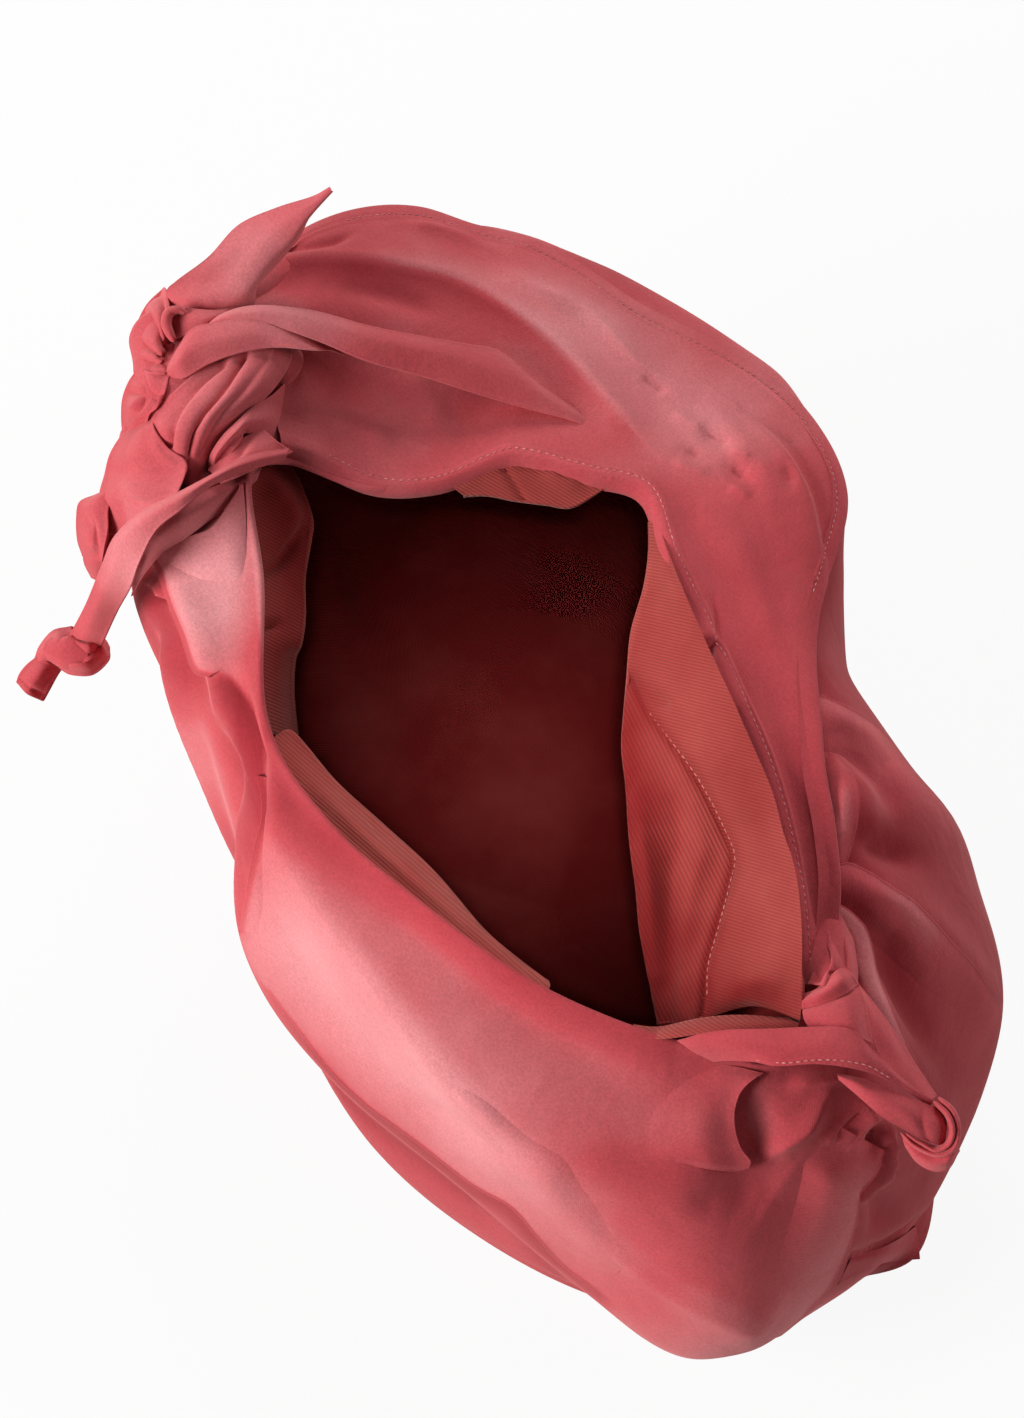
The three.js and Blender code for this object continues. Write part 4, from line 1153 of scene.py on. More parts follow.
def drawn_stitches(shape, cloth, path, points, **sizes):
    """Stitches along a path of pixels on a grid of cloth, sampled at so many points."""
    net = [(across, down, THREAD_LIFT) for across, down in path]
    line = along(Ground(cloth, closed=False).raised(net), points)
    stitches(shape, line, np.broadcast_to(BACK, line.shape), **sizes)


# The handle band: its outer hem lies on the back shoulder, its inner hem hangs over the rim
BAND_START = 1.3
BAND_END = 11.0
BAND_COLUMNS = 440
BAND_ROWS = 110
BAND_SEAT = 1.6
BAND_THICKNESS = 1.6
# At the right its outer hem stands off over the folds of the pouch: how far, where, and for what share.
STAND_OFF = 6
STAND_OFF_STATIONS = (1.5, 2.2, 4.0, 5.0)
STAND_OFF_SHARE = 0.8
# Its inner hem turns over the rim by an angle and hangs on a little.
OVER_TURN = 1.9
OVER_STEPS = 9
HANG_DROPS = np.linspace(0.8, 2.0, 4)
# Its doubled hems stand proud and are pulled in by the stitching. The outer one shows from these stations.
HEM_WIDTH = 8.0
INNER_HEM_WIDTH = 12.0
HEM_PROUD = 0.7
HEM_SLOPE = 1.6
STITCH_INSET = 1.2
STITCH_DIP = 0.55
STITCH_REACH = 0.9
OUTER_HEM_STATIONS = (3.9, 4.6)
TURNED_UNDER_OUTER = 9
TURNED_UNDER_INNER = 6
# Columns of the band between which each hem's stitches show
OUTER_STITCHES = slice(130, 400)
INNER_STITCHES = slice(8, 400)
BAND_PLEAT = [
    (273, 261), (306, 260), (340, 260), (371, 262), (399, 268), (452, 280), (499, 304), (552, 343),
    (592, 386), (625, 422),
]
OUTER_FOLD = [(744, 410), (768, 428), (788, 447), (805, 473), (818, 503), (827, 547), (830, 579)]
# Painted light above the band's pleat, painted shade below it, and a painted highlight along a ridge
BAND_PAINTED_LIGHT = [
    (BAND_PLEAT, 0.2, 16, 3, 0.6, 0.3, 2), (BAND_PLEAT, -0.3, 3, 30, 0.6, 0.3, 2),
    ([(426, 256), (515, 280), (558, 299), (605, 329), (655, 379)], 0.16, 12, 10, 0.2, 0.3, 2),
]
SEEN_BAND_FOLDS = [
    # The crisp pleat that leaves the tail of the knot, steep on its lower side
    (BAND_PLEAT, 5, 34, 12, 1, 0.1, 1.3),
    # A softer pleat nearer the outer hem
    ([(485, 266), (546, 298), (584, 317), (622, 352), (670, 392)], 5, 20, 6, 0.1, 0.1, 1.5),
    # The fold along the outer edge at the right
    (OUTER_FOLD, -3, 14, 4, 0.3, 0.3, 1.3),
    ([(735, 405), (762, 427), (782, 447), (799, 473), (811, 503), (819, 547)], 1.6, 7, 26, 0.2, 0.1, 1.6),
    # Crumples where the band turns down
    ([(640, 373), (655, 384), (668, 394)], -2.6, 4, 7, 0.2, 0.2, 1.4),
    ([(560, 341), (590, 378), (618, 408), (653, 436)], 2.4, 12, 14, 0.3, 0.1, 1.6),
    ([(701, 430), (718, 438), (733, 445)], -2.4, 4, 7, 0.2, 0.2, 1.4),
    ([(668, 412), (690, 424), (708, 431)], 2, 6, 6, 0.2, 0.2, 1.5),
    ([(727, 451), (740, 456), (751, 463)], 2.2, 5, 5, 0.2, 0.2, 1.4),
    ([(730, 466), (738, 471), (747, 478)], -3, 7, 7, 0.5, 0.5, 1.6),
    ([(727, 486), (740, 492), (752, 500)], 1.8, 4, 7, 0.2, 0.2, 1.4),
    ([(786, 466), (788, 476), (790, 486)], -2, 6, 6, 0.4, 0.4, 1.6),
    ([(686, 448), (694, 453), (700, 459)], -2, 6, 6, 0.4, 0.4, 1.6),
    ([(668, 462), (690, 470), (712, 476)], 1.6, 7, 6, 0.2, 0.2, 1.6),
    ([(690, 400), (730, 430), (760, 470), (775, 520)], 1.6, 12, 14, 0.1, 0.1, 2),
    ([(670, 480), (700, 540), (730, 600)], -1.4, 14, 14, 0.1, 0.1, 2),
    ([(720, 500), (755, 590), (780, 690)], 1.5, 16, 18, 0.1, 0.1, 2),
    # Creases of the strip along the inner hem at the right
    ([(712, 600), (745, 690), (775, 780), (795, 850), (812, 905)], -1.2, 5, 7, 0.3, 0.1, 1.5),
    ([(714, 598), (719, 640), (722, 690)], -2.4, 3, 4, 0.3, 0.2, 1.3),
    # Folds of its left end
    ([(286, 256), (308, 252), (334, 246), (356, 236)], -3.5, 4, 5, 0.9, 0.1, 1.4),
    ([(395, 224), (440, 234), (500, 256)], 2.5, 8, 5, 0.2, 0.1, 1.6),
    ([(330, 285), (400, 300), (450, 318)], -2, 10, 10, 0.3, 0.1, 2),
    ([(300, 400), (360, 430), (400, 450)], 2.5, 14, 14, 0.1, 0.1, 2),
    ([(400, 360), (430, 400), (440, 440)], 1, 14, 16, 0.1, 0.1, 2),
]
band_station, band_across = np.meshgrid(
    BAND_START + (BAND_END - BAND_START) * np.linspace(0, 1, BAND_COLUMNS),
    np.linspace(0, 1, BAND_ROWS),
)
edge_places = np.interp(band_station[0], BAND_OUTER_EDGE[:, 0], range(len(BAND_OUTER_EDGE)))
low_edge = spline(BAND_OUTER_EDGE, edge_places)[:, 1]
band_level = low_edge + (RIM_LEVEL - low_edge) * band_across
band_points = pouch_at(band_station, band_level)
band_normal = grid_normals(band_points)
band_lift = np.maximum(pouch_lift(band_points, band_normal, band_level), 0) + BAND_SEAT + BAND_THICKNESS
stands_off = plateau(band_station, *STAND_OFF_STATIONS) * (1 - smooth(band_across, 0, STAND_OFF_SHARE))
band = band_points + band_normal * (band_lift + STAND_OFF * stands_off)[..., None]
# Its left end, drawn from the knot to where it lies on the shoulder, each row from its outer to its inner
# edge; the shares of a row where its points lie; and the rows' stations, the last of them on the shoulder
BAND_LEFT = [
    [(262, 272, 226), (256, 278, 230), (250, 288, 233), (246, 300, 235), (243, 312, 236),
     (246, 335, 232), (262, 362, 226), (272, 404, 226), (280, 436, 225)],
    [(318, 226, 222), (320, 244, 226), (320, 264, 229), (316, 286, 231), (308, 308, 232),
     (304, 340, 227), (303, 370, 222), (304, 412, 221), (312, 446, 220)],
    [(370, 209, 211), (374, 236, 216), (374, 264, 220), (368, 292, 222), (358, 320, 222),
     (353, 354, 217), (352, 386, 213), (345, 428, 213), (340, 460, 214)],
    [(420, 209, 202), (420, 238, 207), (418, 268, 211), (412, 300, 213), (406, 330, 213),
     (406, 364, 210), (408, 398, 207), (392, 442, 208), (380, 477, 208)],
    [(472, 226, 193), (474, 257, 199), (474, 288, 203), (470, 320, 205), (464, 348, 206),
     (468, 380, 205), (470, 410, 203), (452, 449, 205), (434, 477, 205)],
]
BAND_LEFT_SHARES = [0, 0.13, 0.26, 0.39, 0.5, 0.62, 0.75, 0.88, 1]
BAND_LEFT_STATIONS = [11.0, 10.4, 9.8, 9.2, 8.6, 8.0, 7.6]
JOIN = 8.0


def band_left_end():
    """The band's columns from the knot to the join, and their points."""
    net = list(from_pixels(BAND_LEFT))
    across = np.linspace(0, 1, BAND_ROWS)
    for station in BAND_LEFT_STATIONS[len(net):]:
        line = band[:, np.argmin(np.abs(band_station[0] - station))]
        net.append(np.stack([np.interp(BAND_LEFT_SHARES, across, line[:, axis]) for axis in range(3)], -1))
    places = np.interp(across, BAND_LEFT_SHARES, range(len(BAND_LEFT_SHARES)))
    wide = np.stack([spline(line, places) for line in net])
    columns = np.flatnonzero(band_station[0] > JOIN)
    stations = -np.array(BAND_LEFT_STATIONS)
    places = np.interp(-band_station[0, columns], stations, range(len(stations)))
    return columns, np.stack([spline(wide[:, row], places) for row in range(BAND_ROWS)])


left_columns, left_points = band_left_end()
band[:, left_columns] = left_points
fine_normal = grid_normals(band)
band += fine_normal * seen_lift(band, fine_normal, SEEN_BAND_FOLDS)[..., None]


def hemmed(sheet, outer_hem):
    """A band with a doubled hem along both edges, its inner edge turned down over the rim.

    outer_hem is how far the hem of the outer edge shows, for each column. Returns all the points, those of
    the upper side with their normals, and how far these lie from the outer edge.
    """
    normal = grid_normals(sheet)[-1]
    inward = unit(np.gradient(sheet, axis=0))[-1]
    radius = ROLL_RADIUS + BAND_SEAT + BAND_THICKNESS
    centre = sheet[-1] - normal * radius
    turns = np.linspace(0, OVER_TURN, OVER_STEPS)[1:]
    over = [centre + radius * (normal * math.cos(turn) + inward * math.sin(turn)) for turn in turns]
    heading = -normal * math.sin(OVER_TURN) + inward * math.cos(OVER_TURN)
    over += [over[-1] + heading * drop for drop in HANG_DROPS]
    rows = np.concatenate([sheet, np.stack(over)])
    normals = grid_normals(rows)
    climb = unit(np.gradient(rows, axis=0))
    steps = np.linalg.norm(np.diff(rows, axis=0), axis=2)
    from_low = np.concatenate([np.zeros((1, rows.shape[1])), np.cumsum(steps, 0)])
    from_high = from_low[-1] - from_low
    nearer_low = from_low < from_high
    into_hem = np.minimum(from_low, from_high) - np.where(nearer_low, HEM_WIDTH, INNER_HEM_WIDTH)
    proud = HEM_PROUD * (1 - smooth(into_hem, 0, HEM_SLOPE))
    groove = -STITCH_DIP * np.exp(-((into_hem + STITCH_INSET) / STITCH_REACH) ** 2)
    rows = rows + normals * ((proud + groove) * np.where(nearer_low, outer_hem, 1))[..., None]
    low_under, high_under = (rows[end] - normals[end] * BAND_THICKNESS for end in (0, -1))
    low_round, high_round = (rows[end] - normals[end] * (BAND_THICKNESS / 2) for end in (0, -1))
    whole = np.concatenate([
        np.stack([
            low_under + climb[0] * TURNED_UNDER_OUTER,
            low_under,
            low_round - climb[0] * (BAND_THICKNESS / 2),
        ]),
        rows,
        np.stack([
            high_round + climb[-1] * (BAND_THICKNESS / 2),
            high_under,
            high_under - climb[-1] * TURNED_UNDER_INNER,
        ]),
    ])
    return whole, rows, normals, from_low


band_whole, band_rows, band_rows_normal, band_from_low = hemmed(
    band, smooth(band_station[0], *OUTER_HEM_STATIONS),
)
band_shape = Shape()
# The band, with painted light and shade along its pleat
band_shape.grid(band_whole, painted_light_and_nap=seen_lift(band_whole, grid_normals(band_whole), BAND_PAINTED_LIGHT))
# The pale fold that runs from the knot along the band
BAND_FOLD = [
    [(202, 329, 248), (208, 326, 250), (215, 327, 250)],
    [(219, 315, 250), (227, 315, 254), (238, 322, 253)],
    [(241, 307, 251), (249, 312, 255), (262, 322, 252)],
    [(267, 305, 250), (278, 313, 253), (288, 330, 249)],
    [(316, 311, 244), (320, 323, 247), (324, 343, 243)],
    [(371, 326, 236), (372, 339, 239), (368, 361, 235)],
    [(427, 337, 227), (428, 351, 230), (420, 375, 226)],
    [(468, 344, 219), (474, 364, 222), (479, 394, 217)],
    [(499, 351, 213), (513, 377, 215), (531, 409, 209)],
    [(535, 380, 207), (553, 401, 207), (572, 420, 203)],
    [(582, 414, 201), (590, 423, 200), (598, 432, 198)],
    [(609, 436, 197), (612, 440, 196), (616, 445, 195)],
]
patch(band_shape, BAND_FOLD, rows=150, columns=60, tuck=(10, 9, 3, 0))
handle_band = make_piece("handle_band", band_shape, rose, "handle_band")


def line_across(distance, from_top):
    """The line on the band at a distance from its outer or inner edge, and its normals."""
    points = []
    ups = []
    for column in range(BAND_COLUMNS):
        run = band_from_low[:, column]
        place = run[-1] - distance if from_top else distance
        points.append([np.interp(place, run, band_rows[:, column, axis]) for axis in range(3)])
        ups.append([np.interp(place, run, band_rows_normal[:, column, axis]) for axis in range(3)])
    return np.array(points), np.array(ups)


hem_thread = Shape()
for inner_hem, width, shown in ((False, HEM_WIDTH, OUTER_STITCHES), (True, INNER_HEM_WIDTH, INNER_STITCHES)):
    hem_line, hem_up = line_across(width - STITCH_INSET, inner_hem)
    stitches(hem_thread, hem_line[shown], hem_up[shown])
band_stitching = make_piece("band_stitching", hem_thread, thread)
seam_thread = Shape()
SEAM_STITCHES = [(across + 3, down) for across, down in SEAM[1:-1]]
drawn_stitches(seam_thread, facing, SEAM_STITCHES, points=120, pitch=3.0)
lining_stitching = make_piece("lining_stitching", seam_thread, coral_thread)

# The left knot
knot = Shape()
# Rolls that fill it: (path, half widths, half height)
KNOT_CORE = [
    ([(156, 325, 224), (173, 362, 228), (180, 406, 228), (186, 458, 214)], [13, 17, 17, 12], 14),
    ([(193, 317, 230), (225, 334, 232), (262, 351, 228), (290, 377, 216)], [10, 13, 13, 10], 12),
    ([(186, 302, 230), (238, 291, 230), (297, 273, 220)], [9, 12, 9], 11),
    ([(141, 425, 206), (143, 473, 204), (130, 521, 184), (111, 555, 166)], [8, 13, 11, 6], 12),
]
for path, half_widths, half_height in KNOT_CORE:
    roll(knot, path, half_widths, half_height)
# The pointed tail, with the narrow turned edge along its right side
TAIL = [
    [(169, 306, 238), (186, 311, 241), (208, 313, 241), (218, 314, 240), (238, 310, 233)],
    [(167, 290, 244), (193, 293, 247), (223, 299, 247), (243, 299, 245), (254, 304, 238)],
    [(176, 281, 247), (208, 277, 250), (241, 279, 250), (260, 278, 248), (257, 287, 241)],
    [(208, 257, 252), (230, 255, 255), (256, 256, 256), (274, 259, 253), (279, 262, 246)],
    [(238, 225, 258), (256, 229, 260), (275, 235, 261), (293, 239, 259), (300, 236, 253)],
    [(275, 208, 265), (284, 213, 266), (295, 218, 267), (305, 221, 266), (309, 218, 261)],
    [(315, 195, 271), (317, 198, 272), (318, 201, 272), (320, 204, 271), (321, 204, 269)],
    [(329, 187, 275), (330, 187, 275.5), (331, 189, 275.5), (332, 191, 275), (333, 191, 274)],
]
TAIL_CREASES = [
    ([(193, 287), (230, 265), (260, 236)], -1.5, 14, 14, 0.3, 0.1, 2),
    ([(174, 299), (200, 302), (223, 306)], 2.5, 7, 6, 0.6, 0.3, 1.6),
]
patch(knot, TAIL, rows=90, columns=70, tuck=(1.4, 1.4, 4, 1.2), edge=0.08, back=1.6, folds=TAIL_CREASES)
# The cuff under the tail and the little loop beside it
CUFF = [
    [(167, 313, 245), (166, 321, 244), (169, 333, 242)],
    [(178, 308, 248), (177, 321, 247), (177, 339, 244)],
    [(197, 309, 249), (195, 319, 249), (189, 333, 246)],
    [(217, 310, 247), (215, 317, 248), (205, 325, 247)],
    [(239, 305, 240), (234, 310, 241), (224, 316, 241)],
]
patch(knot, CUFF, rows=50, columns=44, tuck=(5, 5, 6, 5))
CUFF_LOOP = [
    (175, 342, 244), (169, 332, 247), (166, 322, 249), (169, 313, 250), (177, 310, 250), (186, 313, 248),
]
roll(knot, CUFF_LOOP, half_widths=[1.4, 2.0, 2.2, 2.2, 1.8, 1.2], half_height=3)
# The turn at the left, fanned in pleats that meet at its right
LEFT_TURN = [
    [(164, 287, 234), (146, 305, 230), (134, 332, 224), (133, 356, 224), (137, 374, 230)],
    [(166, 291, 240), (151, 310, 241), (142, 334, 239), (140, 356, 239), (143, 374, 238)],
    [(169, 302, 243), (160, 315, 247), (154, 336, 248), (152, 356, 247), (154, 374, 243)],
    [(172, 321, 243), (170, 328, 247), (166, 342, 248), (165, 359, 247), (166, 374, 244)],
    [(177, 341, 241), (176, 344, 243), (174, 348, 244), (173, 359, 243), (172, 370, 241)],
]
LEFT_TURN_CREASES = [
    ([(159, 294), (166, 313), (174, 341)], -4.2, 3, 7, 0.5, 0.7, 1.0),
    ([(146, 313), (158, 332), (174, 345)], -4.2, 3, 7, 0.5, 0.7, 1.0),
    ([(137, 341), (154, 351), (172, 354)], -4.2, 3, 7, 0.5, 0.7, 1.0),
    ([(135, 361), (152, 363), (171, 362)], -4.2, 3, 7, 0.5, 0.7, 1.0),
]
patch(knot, LEFT_TURN, rows=60, columns=80, tuck=(5, 6, 10, 6), folds=LEFT_TURN_CREASES)
# The fold that leaves the knot at a point, above the barrel
POINTED_FOLD = [
    [(165, 370, 242), (166, 373, 243), (167, 376, 242)],
    [(179, 345, 249), (178, 362, 250), (183, 378, 245)],
    [(191, 329, 252), (193, 347, 253), (208, 364, 248)],
    [(210, 323, 254), (220, 339, 254), (238, 353, 249)],
    [(252, 319, 253), (258, 334, 252), (275, 347, 247)],
    [(278, 327, 250), (289, 338, 248), (316, 350, 243)],
    [(312, 334, 241), (318, 340, 240), (330, 350, 234)],
    [(338, 348, 228), (340, 351, 227), (344, 355, 224)],
]
patch(knot, POINTED_FOLD, rows=90, columns=56, tuck=(4, 6, 3, 2), edge=0.1)
# The barrel of pleats
BARREL = [
    [(223, 347, 236), (238, 343, 242), (256, 339, 243), (275, 339, 241), (293, 339, 234)],
    [(206, 363, 244), (226, 366, 248), (247, 365, 248), (267, 364, 245), (290, 362, 236)],
    [(183, 383, 245), (208, 387, 249), (230, 390, 250), (252, 391, 246), (275, 387, 236)],
    [(163, 403, 239), (186, 410, 248), (208, 416, 249), (228, 416, 245), (247, 414, 236)],
    [(151, 422, 235), (167, 432, 244), (189, 440, 245), (208, 442, 241), (223, 438, 233)],
    [(154, 440, 229), (167, 451, 238), (187, 460, 239), (202, 461, 236), (212, 459, 229)],
    [(163, 455, 222), (174, 465, 231), (189, 471, 232), (201, 471, 230), (211, 468, 224)],
    [(172, 474, 220), (182, 482, 226), (194, 487, 227), (205, 485, 225), (214, 479, 220)],
]
BARREL_CREASES = [
    ([(223, 362), (197, 384), (175, 413), (167, 448)], -4.5, 3, 5, 0.8, 1, 1.1),
    ([(246, 354), (223, 388), (201, 417), (190, 457)], -4.5, 3, 5, 0.8, 1, 1.1),
    ([(268, 358), (245, 391), (223, 417), (202, 455)], -2.2, 4, 6, 0.6, 0.8, 1.4),
]
patch(knot, BARREL, rows=90, columns=110, tuck=(8, 8, 6, 8), edge=0.2, folds=BARREL_CREASES)
# Small folds at the left, under the turn
SMALL_FOLDS = [
    [(137, 369, 234), (149, 371, 241), (169, 377, 243)],
    [(128, 382, 226), (143, 386, 240), (164, 395, 243)],
    [(122, 399, 218), (139, 401, 237), (157, 408, 240)],
    [(121, 417, 211), (134, 417, 231), (150, 414, 237)],
    [(122, 435, 204), (132, 432, 220), (146, 427, 230)],
]
SMALL_FOLDS_CREASES = [
    ([(140, 374), (148, 391), (164, 400)], -4, 3, 5, 0.6, 0.8, 1.2),
    ([(131, 392), (143, 396), (138, 408), (129, 418)], -4, 3, 4, 0.5, 0.5, 1.2),
    ([(138, 399), (134, 407), (130, 413)], 2.5, 4, 4, 0.3, 0.3, 1.4),
]
patch(knot, SMALL_FOLDS, rows=60, columns=60, tuck=(8, 6, 5, 8), edge=0.2, folds=SMALL_FOLDS_CREASES)
# The hanging lobes and the tip of the lower one
UPPER_LOBE = [
    [(142, 417, 212), (148, 412, 226), (153, 409, 231)],
    [(123, 433, 214), (141, 432, 233), (154, 429, 238)],
    [(110, 453, 210), (137, 455, 234), (167, 448, 240)],
    [(104, 475, 203), (137, 477, 230), (186, 463, 240)],
    [(99, 497, 204), (130, 497, 225), (178, 492, 236)],
    [(103, 513, 200), (130, 514, 217), (164, 514, 228)],
    [(107, 534, 192), (130, 536, 206), (156, 537, 216)],
]
UPPER_LOBE_CREASES = [
    ([(113, 489), (128, 500), (146, 504)], -2.6, 4, 6, 0.2, 0.5, 1.4),
    ([(122, 486), (137, 493), (156, 493)], 2, 6, 6, 0.2, 0.4, 1.6),
    ([(114, 497), (120, 512), (122, 532)], -3, 4, 5, 0.3, 0.8, 1.3),
    ([(152, 432), (163, 455), (186, 469)], 1.5, 6, 6, 0.3, 0.3, 1.6),
]
patch(knot, UPPER_LOBE, rows=80, columns=70, tuck=(8, 6, 6, 6), edge=0.16, folds=UPPER_LOBE_CREASES)
LOWER_LOBE = [
    [(98, 493, 200), (106, 491, 208), (113, 495, 208)],
    [(79, 502, 193), (93, 505, 206), (108, 510, 207)],
    [(76, 518, 186), (91, 523, 203), (108, 529, 203)],
    [(77, 540, 178), (91, 544, 196), (104, 549, 196)],
    [(82, 556, 170), (93, 559, 184), (102, 562, 187)],
]
LOWER_LOBE_CREASES = [
    ([(90, 512), (94, 531), (98, 553)], -2.6, 3, 5, 0.3, 0.6, 1.3),
    ([(81, 512), (85, 521), (88, 532)], -1.8, 3, 4, 0.3, 0.3, 1.4),
]
patch(
    knot, LOWER_LOBE, rows=50, columns=50, tuck=(7, 6, 6, 6), edge=0.18, back=12,
    folds=LOWER_LOBE_CREASES,
)
LOBE_TIP = [
    [(82, 551, 174), (93, 553, 186), (106, 557, 188)],
    [(84, 564, 164), (95, 566, 177), (105, 567, 178)],
    [(91, 578, 152), (97, 580, 162), (104, 578, 165)],
]
patch(knot, LOBE_TIP, rows=30, columns=36, tuck=(6, 5, 4, 6), edge=0.18, back=8)
# The knuckle where the band's inner corner is folded into the knot, and the fold under it
KNUCKLE = [
    [(297, 369, 216), (293, 414, 216), (290, 455, 215)],
    [(273, 394, 231), (269, 419, 232), (262, 438, 228)],
    [(252, 407, 239), (247, 423, 241), (244, 433, 236)],
    [(235, 423, 241), (238, 430, 243), (242, 438, 238)],
    [(222, 436, 240), (226, 442, 242), (235, 449, 238)],
    [(210, 455, 236), (215, 458, 238), (225, 462, 234)],
    [(208, 472, 228), (215, 472, 229), (223, 472, 227)],
]
KNUCKLE_CREASES = [
    ([(245, 432), (231, 447), (219, 463)], -2.5, 3, 4, 0.4, 0.8, 1.2),
]
patch(knot, KNUCKLE, rows=70, columns=44, tuck=(7, 5, 4, 5), edge=0.16, folds=KNUCKLE_CREASES)
KNUCKLE_UNDER = [
    [(262, 428, 231), (276, 440, 230), (293, 452, 222)],
    [(241, 439, 235), (249, 453, 238), (261, 466, 234)],
    [(227, 450, 236), (234, 462, 239), (242, 475, 235)],
    [(208, 469, 232), (215, 476, 234), (221, 484, 231)],
]
KNUCKLE_UNDER_CREASES = [
    ([(249, 440), (238, 455), (223, 469)], -2.5, 3, 4, 0.4, 0.8, 1.2),
]
patch(knot, KNUCKLE_UNDER, rows=44, columns=40, tuck=(5, 5, 5, 5), edge=0.16, folds=KNUCKLE_UNDER_CREASES)
left_knot = make_piece("left_knot", knot, rose, "left_knot")

# The narrow tie, folded in two layers, and its stopper knot
tie = Shape()
STRAP_UPPER = [
    [(289, 448, 230), (287, 454, 231), (284, 460, 229)],
    [(261, 452, 237), (260, 459, 239), (259, 467, 237)],
    [(238, 459, 241), (238, 466, 244), (236, 475, 241)],
    [(208, 476, 244), (208, 481, 247), (207, 488, 244)],
    [(174, 494, 241), (176, 501, 245), (179, 511, 242)],
    [(143, 510, 233), (148, 518, 238), (157, 529, 235)],
    [(115, 535, 219), (124, 544, 225), (140, 560, 222)],
    [(101, 566, 199), (111, 573, 206), (131, 585, 203)],
    [(86, 603, 165), (97, 607, 173), (117, 611, 169)],
    [(69, 636, 133), (84, 641, 140), (101, 646, 136)],
]
patch(tie, STRAP_UPPER, rows=120, columns=50, tuck=(3, 3, 3, 3), edge=0.16, back=3.5)
STRAP_LOWER = [
    [(261, 468, 215), (259, 473, 217), (257, 479, 213)],
    [(238, 478, 224), (238, 486, 225), (237, 497, 218)],
    [(208, 489, 230), (209, 501, 229), (212, 518, 219)],
    [(178, 509, 229), (181, 520, 227), (187, 537, 215)],
    [(156, 529, 222), (158, 539, 219), (162, 553, 206)],
    [(139, 558, 216), (144, 563, 216), (145, 572, 208)],
    [(129, 584, 196), (133, 586, 195), (131, 596, 188)],
]
patch(tie, STRAP_LOWER, rows=90, columns=40, tuck=(3, 4, 3, 4), edge=0.16, back=3.5)
# The stopper: a core, the wrap at its left, the wrap across it and the cut end
STOPPER_CORE = [(52, 648, 128), (69, 653, 132), (93, 653, 132)]
roll(tie, STOPPER_CORE, half_widths=[5, 7.5, 6], half_height=7)
STOPPER_LEFT = [
    [(71, 626, 130), (73, 636, 134), (75, 648, 132)],
    [(53, 630, 131), (58, 642, 138), (66, 656, 134)],
    [(39, 646, 127), (46, 653, 133), (56, 661, 129)],
    [(34, 659, 122), (41, 662, 126), (49, 664, 123)],
]
patch(tie, STOPPER_LEFT, rows=44, columns=44, tuck=(5, 4, 4, 4), edge=0.2, back=9)
STOPPER_WRAP = [
    [(51, 658, 124), (56, 663, 126), (59, 669, 122)],
    [(68, 653, 134), (69, 664, 135), (71, 675, 126)],
    [(85, 651, 137), (88, 662, 137), (90, 675, 126)],
    [(99, 643, 134), (103, 652, 134), (107, 660, 125)],
    [(101, 636, 127), (105, 641, 128), (108, 647, 123)],
]
STOPPER_WRAP_CREASES = [
    ([(61, 663), (76, 659), (91, 662), (100, 656)], -2.5, 3, 3, 0.4, 0.4, 1.2),
]
patch(
    tie, STOPPER_WRAP, rows=50, columns=50, tuck=(4, 5, 4, 4), edge=0.2, back=10,
    folds=STOPPER_WRAP_CREASES,
)
STOPPER_CROSS = [
    [(66, 631, 131), (68, 638, 134), (71, 645, 132)],
    [(76, 638, 137), (78, 643, 140), (79, 651, 137)],
    [(89, 640, 139), (89, 645, 141), (89, 653, 138)],
    [(101, 634, 132), (102, 640, 134), (101, 651, 132)],
]
patch(tie, STOPPER_CROSS, rows=40, columns=36, tuck=(4, 4, 4, 4), edge=0.2)
STOPPER_END = [
    [(37, 656, 124), (48, 662, 127), (62, 666, 122)],
    [(26, 665, 123), (39, 674, 127), (55, 677, 121)],
    [(19, 674, 121), (32, 684, 125), (48, 690, 119)],
    [(16, 682, 119), (27, 694, 122), (42, 701, 117)],
]
STOPPER_END_CREASES = [
    ([(19, 679), (30, 688), (44, 695)], -1.6, 2, 2, 0.6, 0.6, 1.2),
]
patch(
    tie, STOPPER_END, rows=40, columns=44, tuck=(4, 4, 3, 3), edge=0.2, back=7,
    folds=STOPPER_END_CREASES,
)
tie_strap = make_piece("tie_strap", tie, rose, "tie_strap")

# The right knot: folds gathered between the band and the tie
gather = Shape()
GATHER_CORE = [(817, 887, 178), (828, 935, 180), (828, 979, 182), (844, 1012, 184)]
roll(gather, GATHER_CORE, half_widths=[5, 8, 9, 9], half_height=8)
GATHER_FRONT = [
    [(807, 876, 180), (815, 884, 184), (824, 893, 182)],
    [(817, 908, 184), (826, 914, 188), (834, 921, 185)],
    [(820, 935, 186), (830, 941, 191), (839, 948, 187)],
    [(818, 958, 188), (831, 963, 193), (842, 970, 189)],
    [(809, 984, 189), (823, 986, 194), (836, 993, 190)],
]
GATHER_FRONT_CREASES = [
    ([(821, 899), (830, 929), (828, 952), (817, 979)], -3.5, 3, 4, 0.5, 0.8, 1.2),
    ([(820, 950), (831, 967), (841, 984)], -3, 3, 4, 0.6, 0.8, 1.2),
]
patch(gather, GATHER_FRONT, rows=60, columns=50, tuck=(6, 6, 5, 5), edge=0.2, folds=GATHER_FRONT_CREASES)
GATHER_BACK = [
    [(830, 881, 177), (840, 886, 181), (849, 897, 177)],
    [(835, 911, 178), (841, 908, 182), (845, 907, 179)],
    [(838, 938, 181), (845, 938, 186), (853, 938, 180)],
    [(841, 964, 184), (849, 966, 188), (858, 970, 182)],
    [(840, 985, 186), (849, 985, 189), (858, 985, 183)],
]
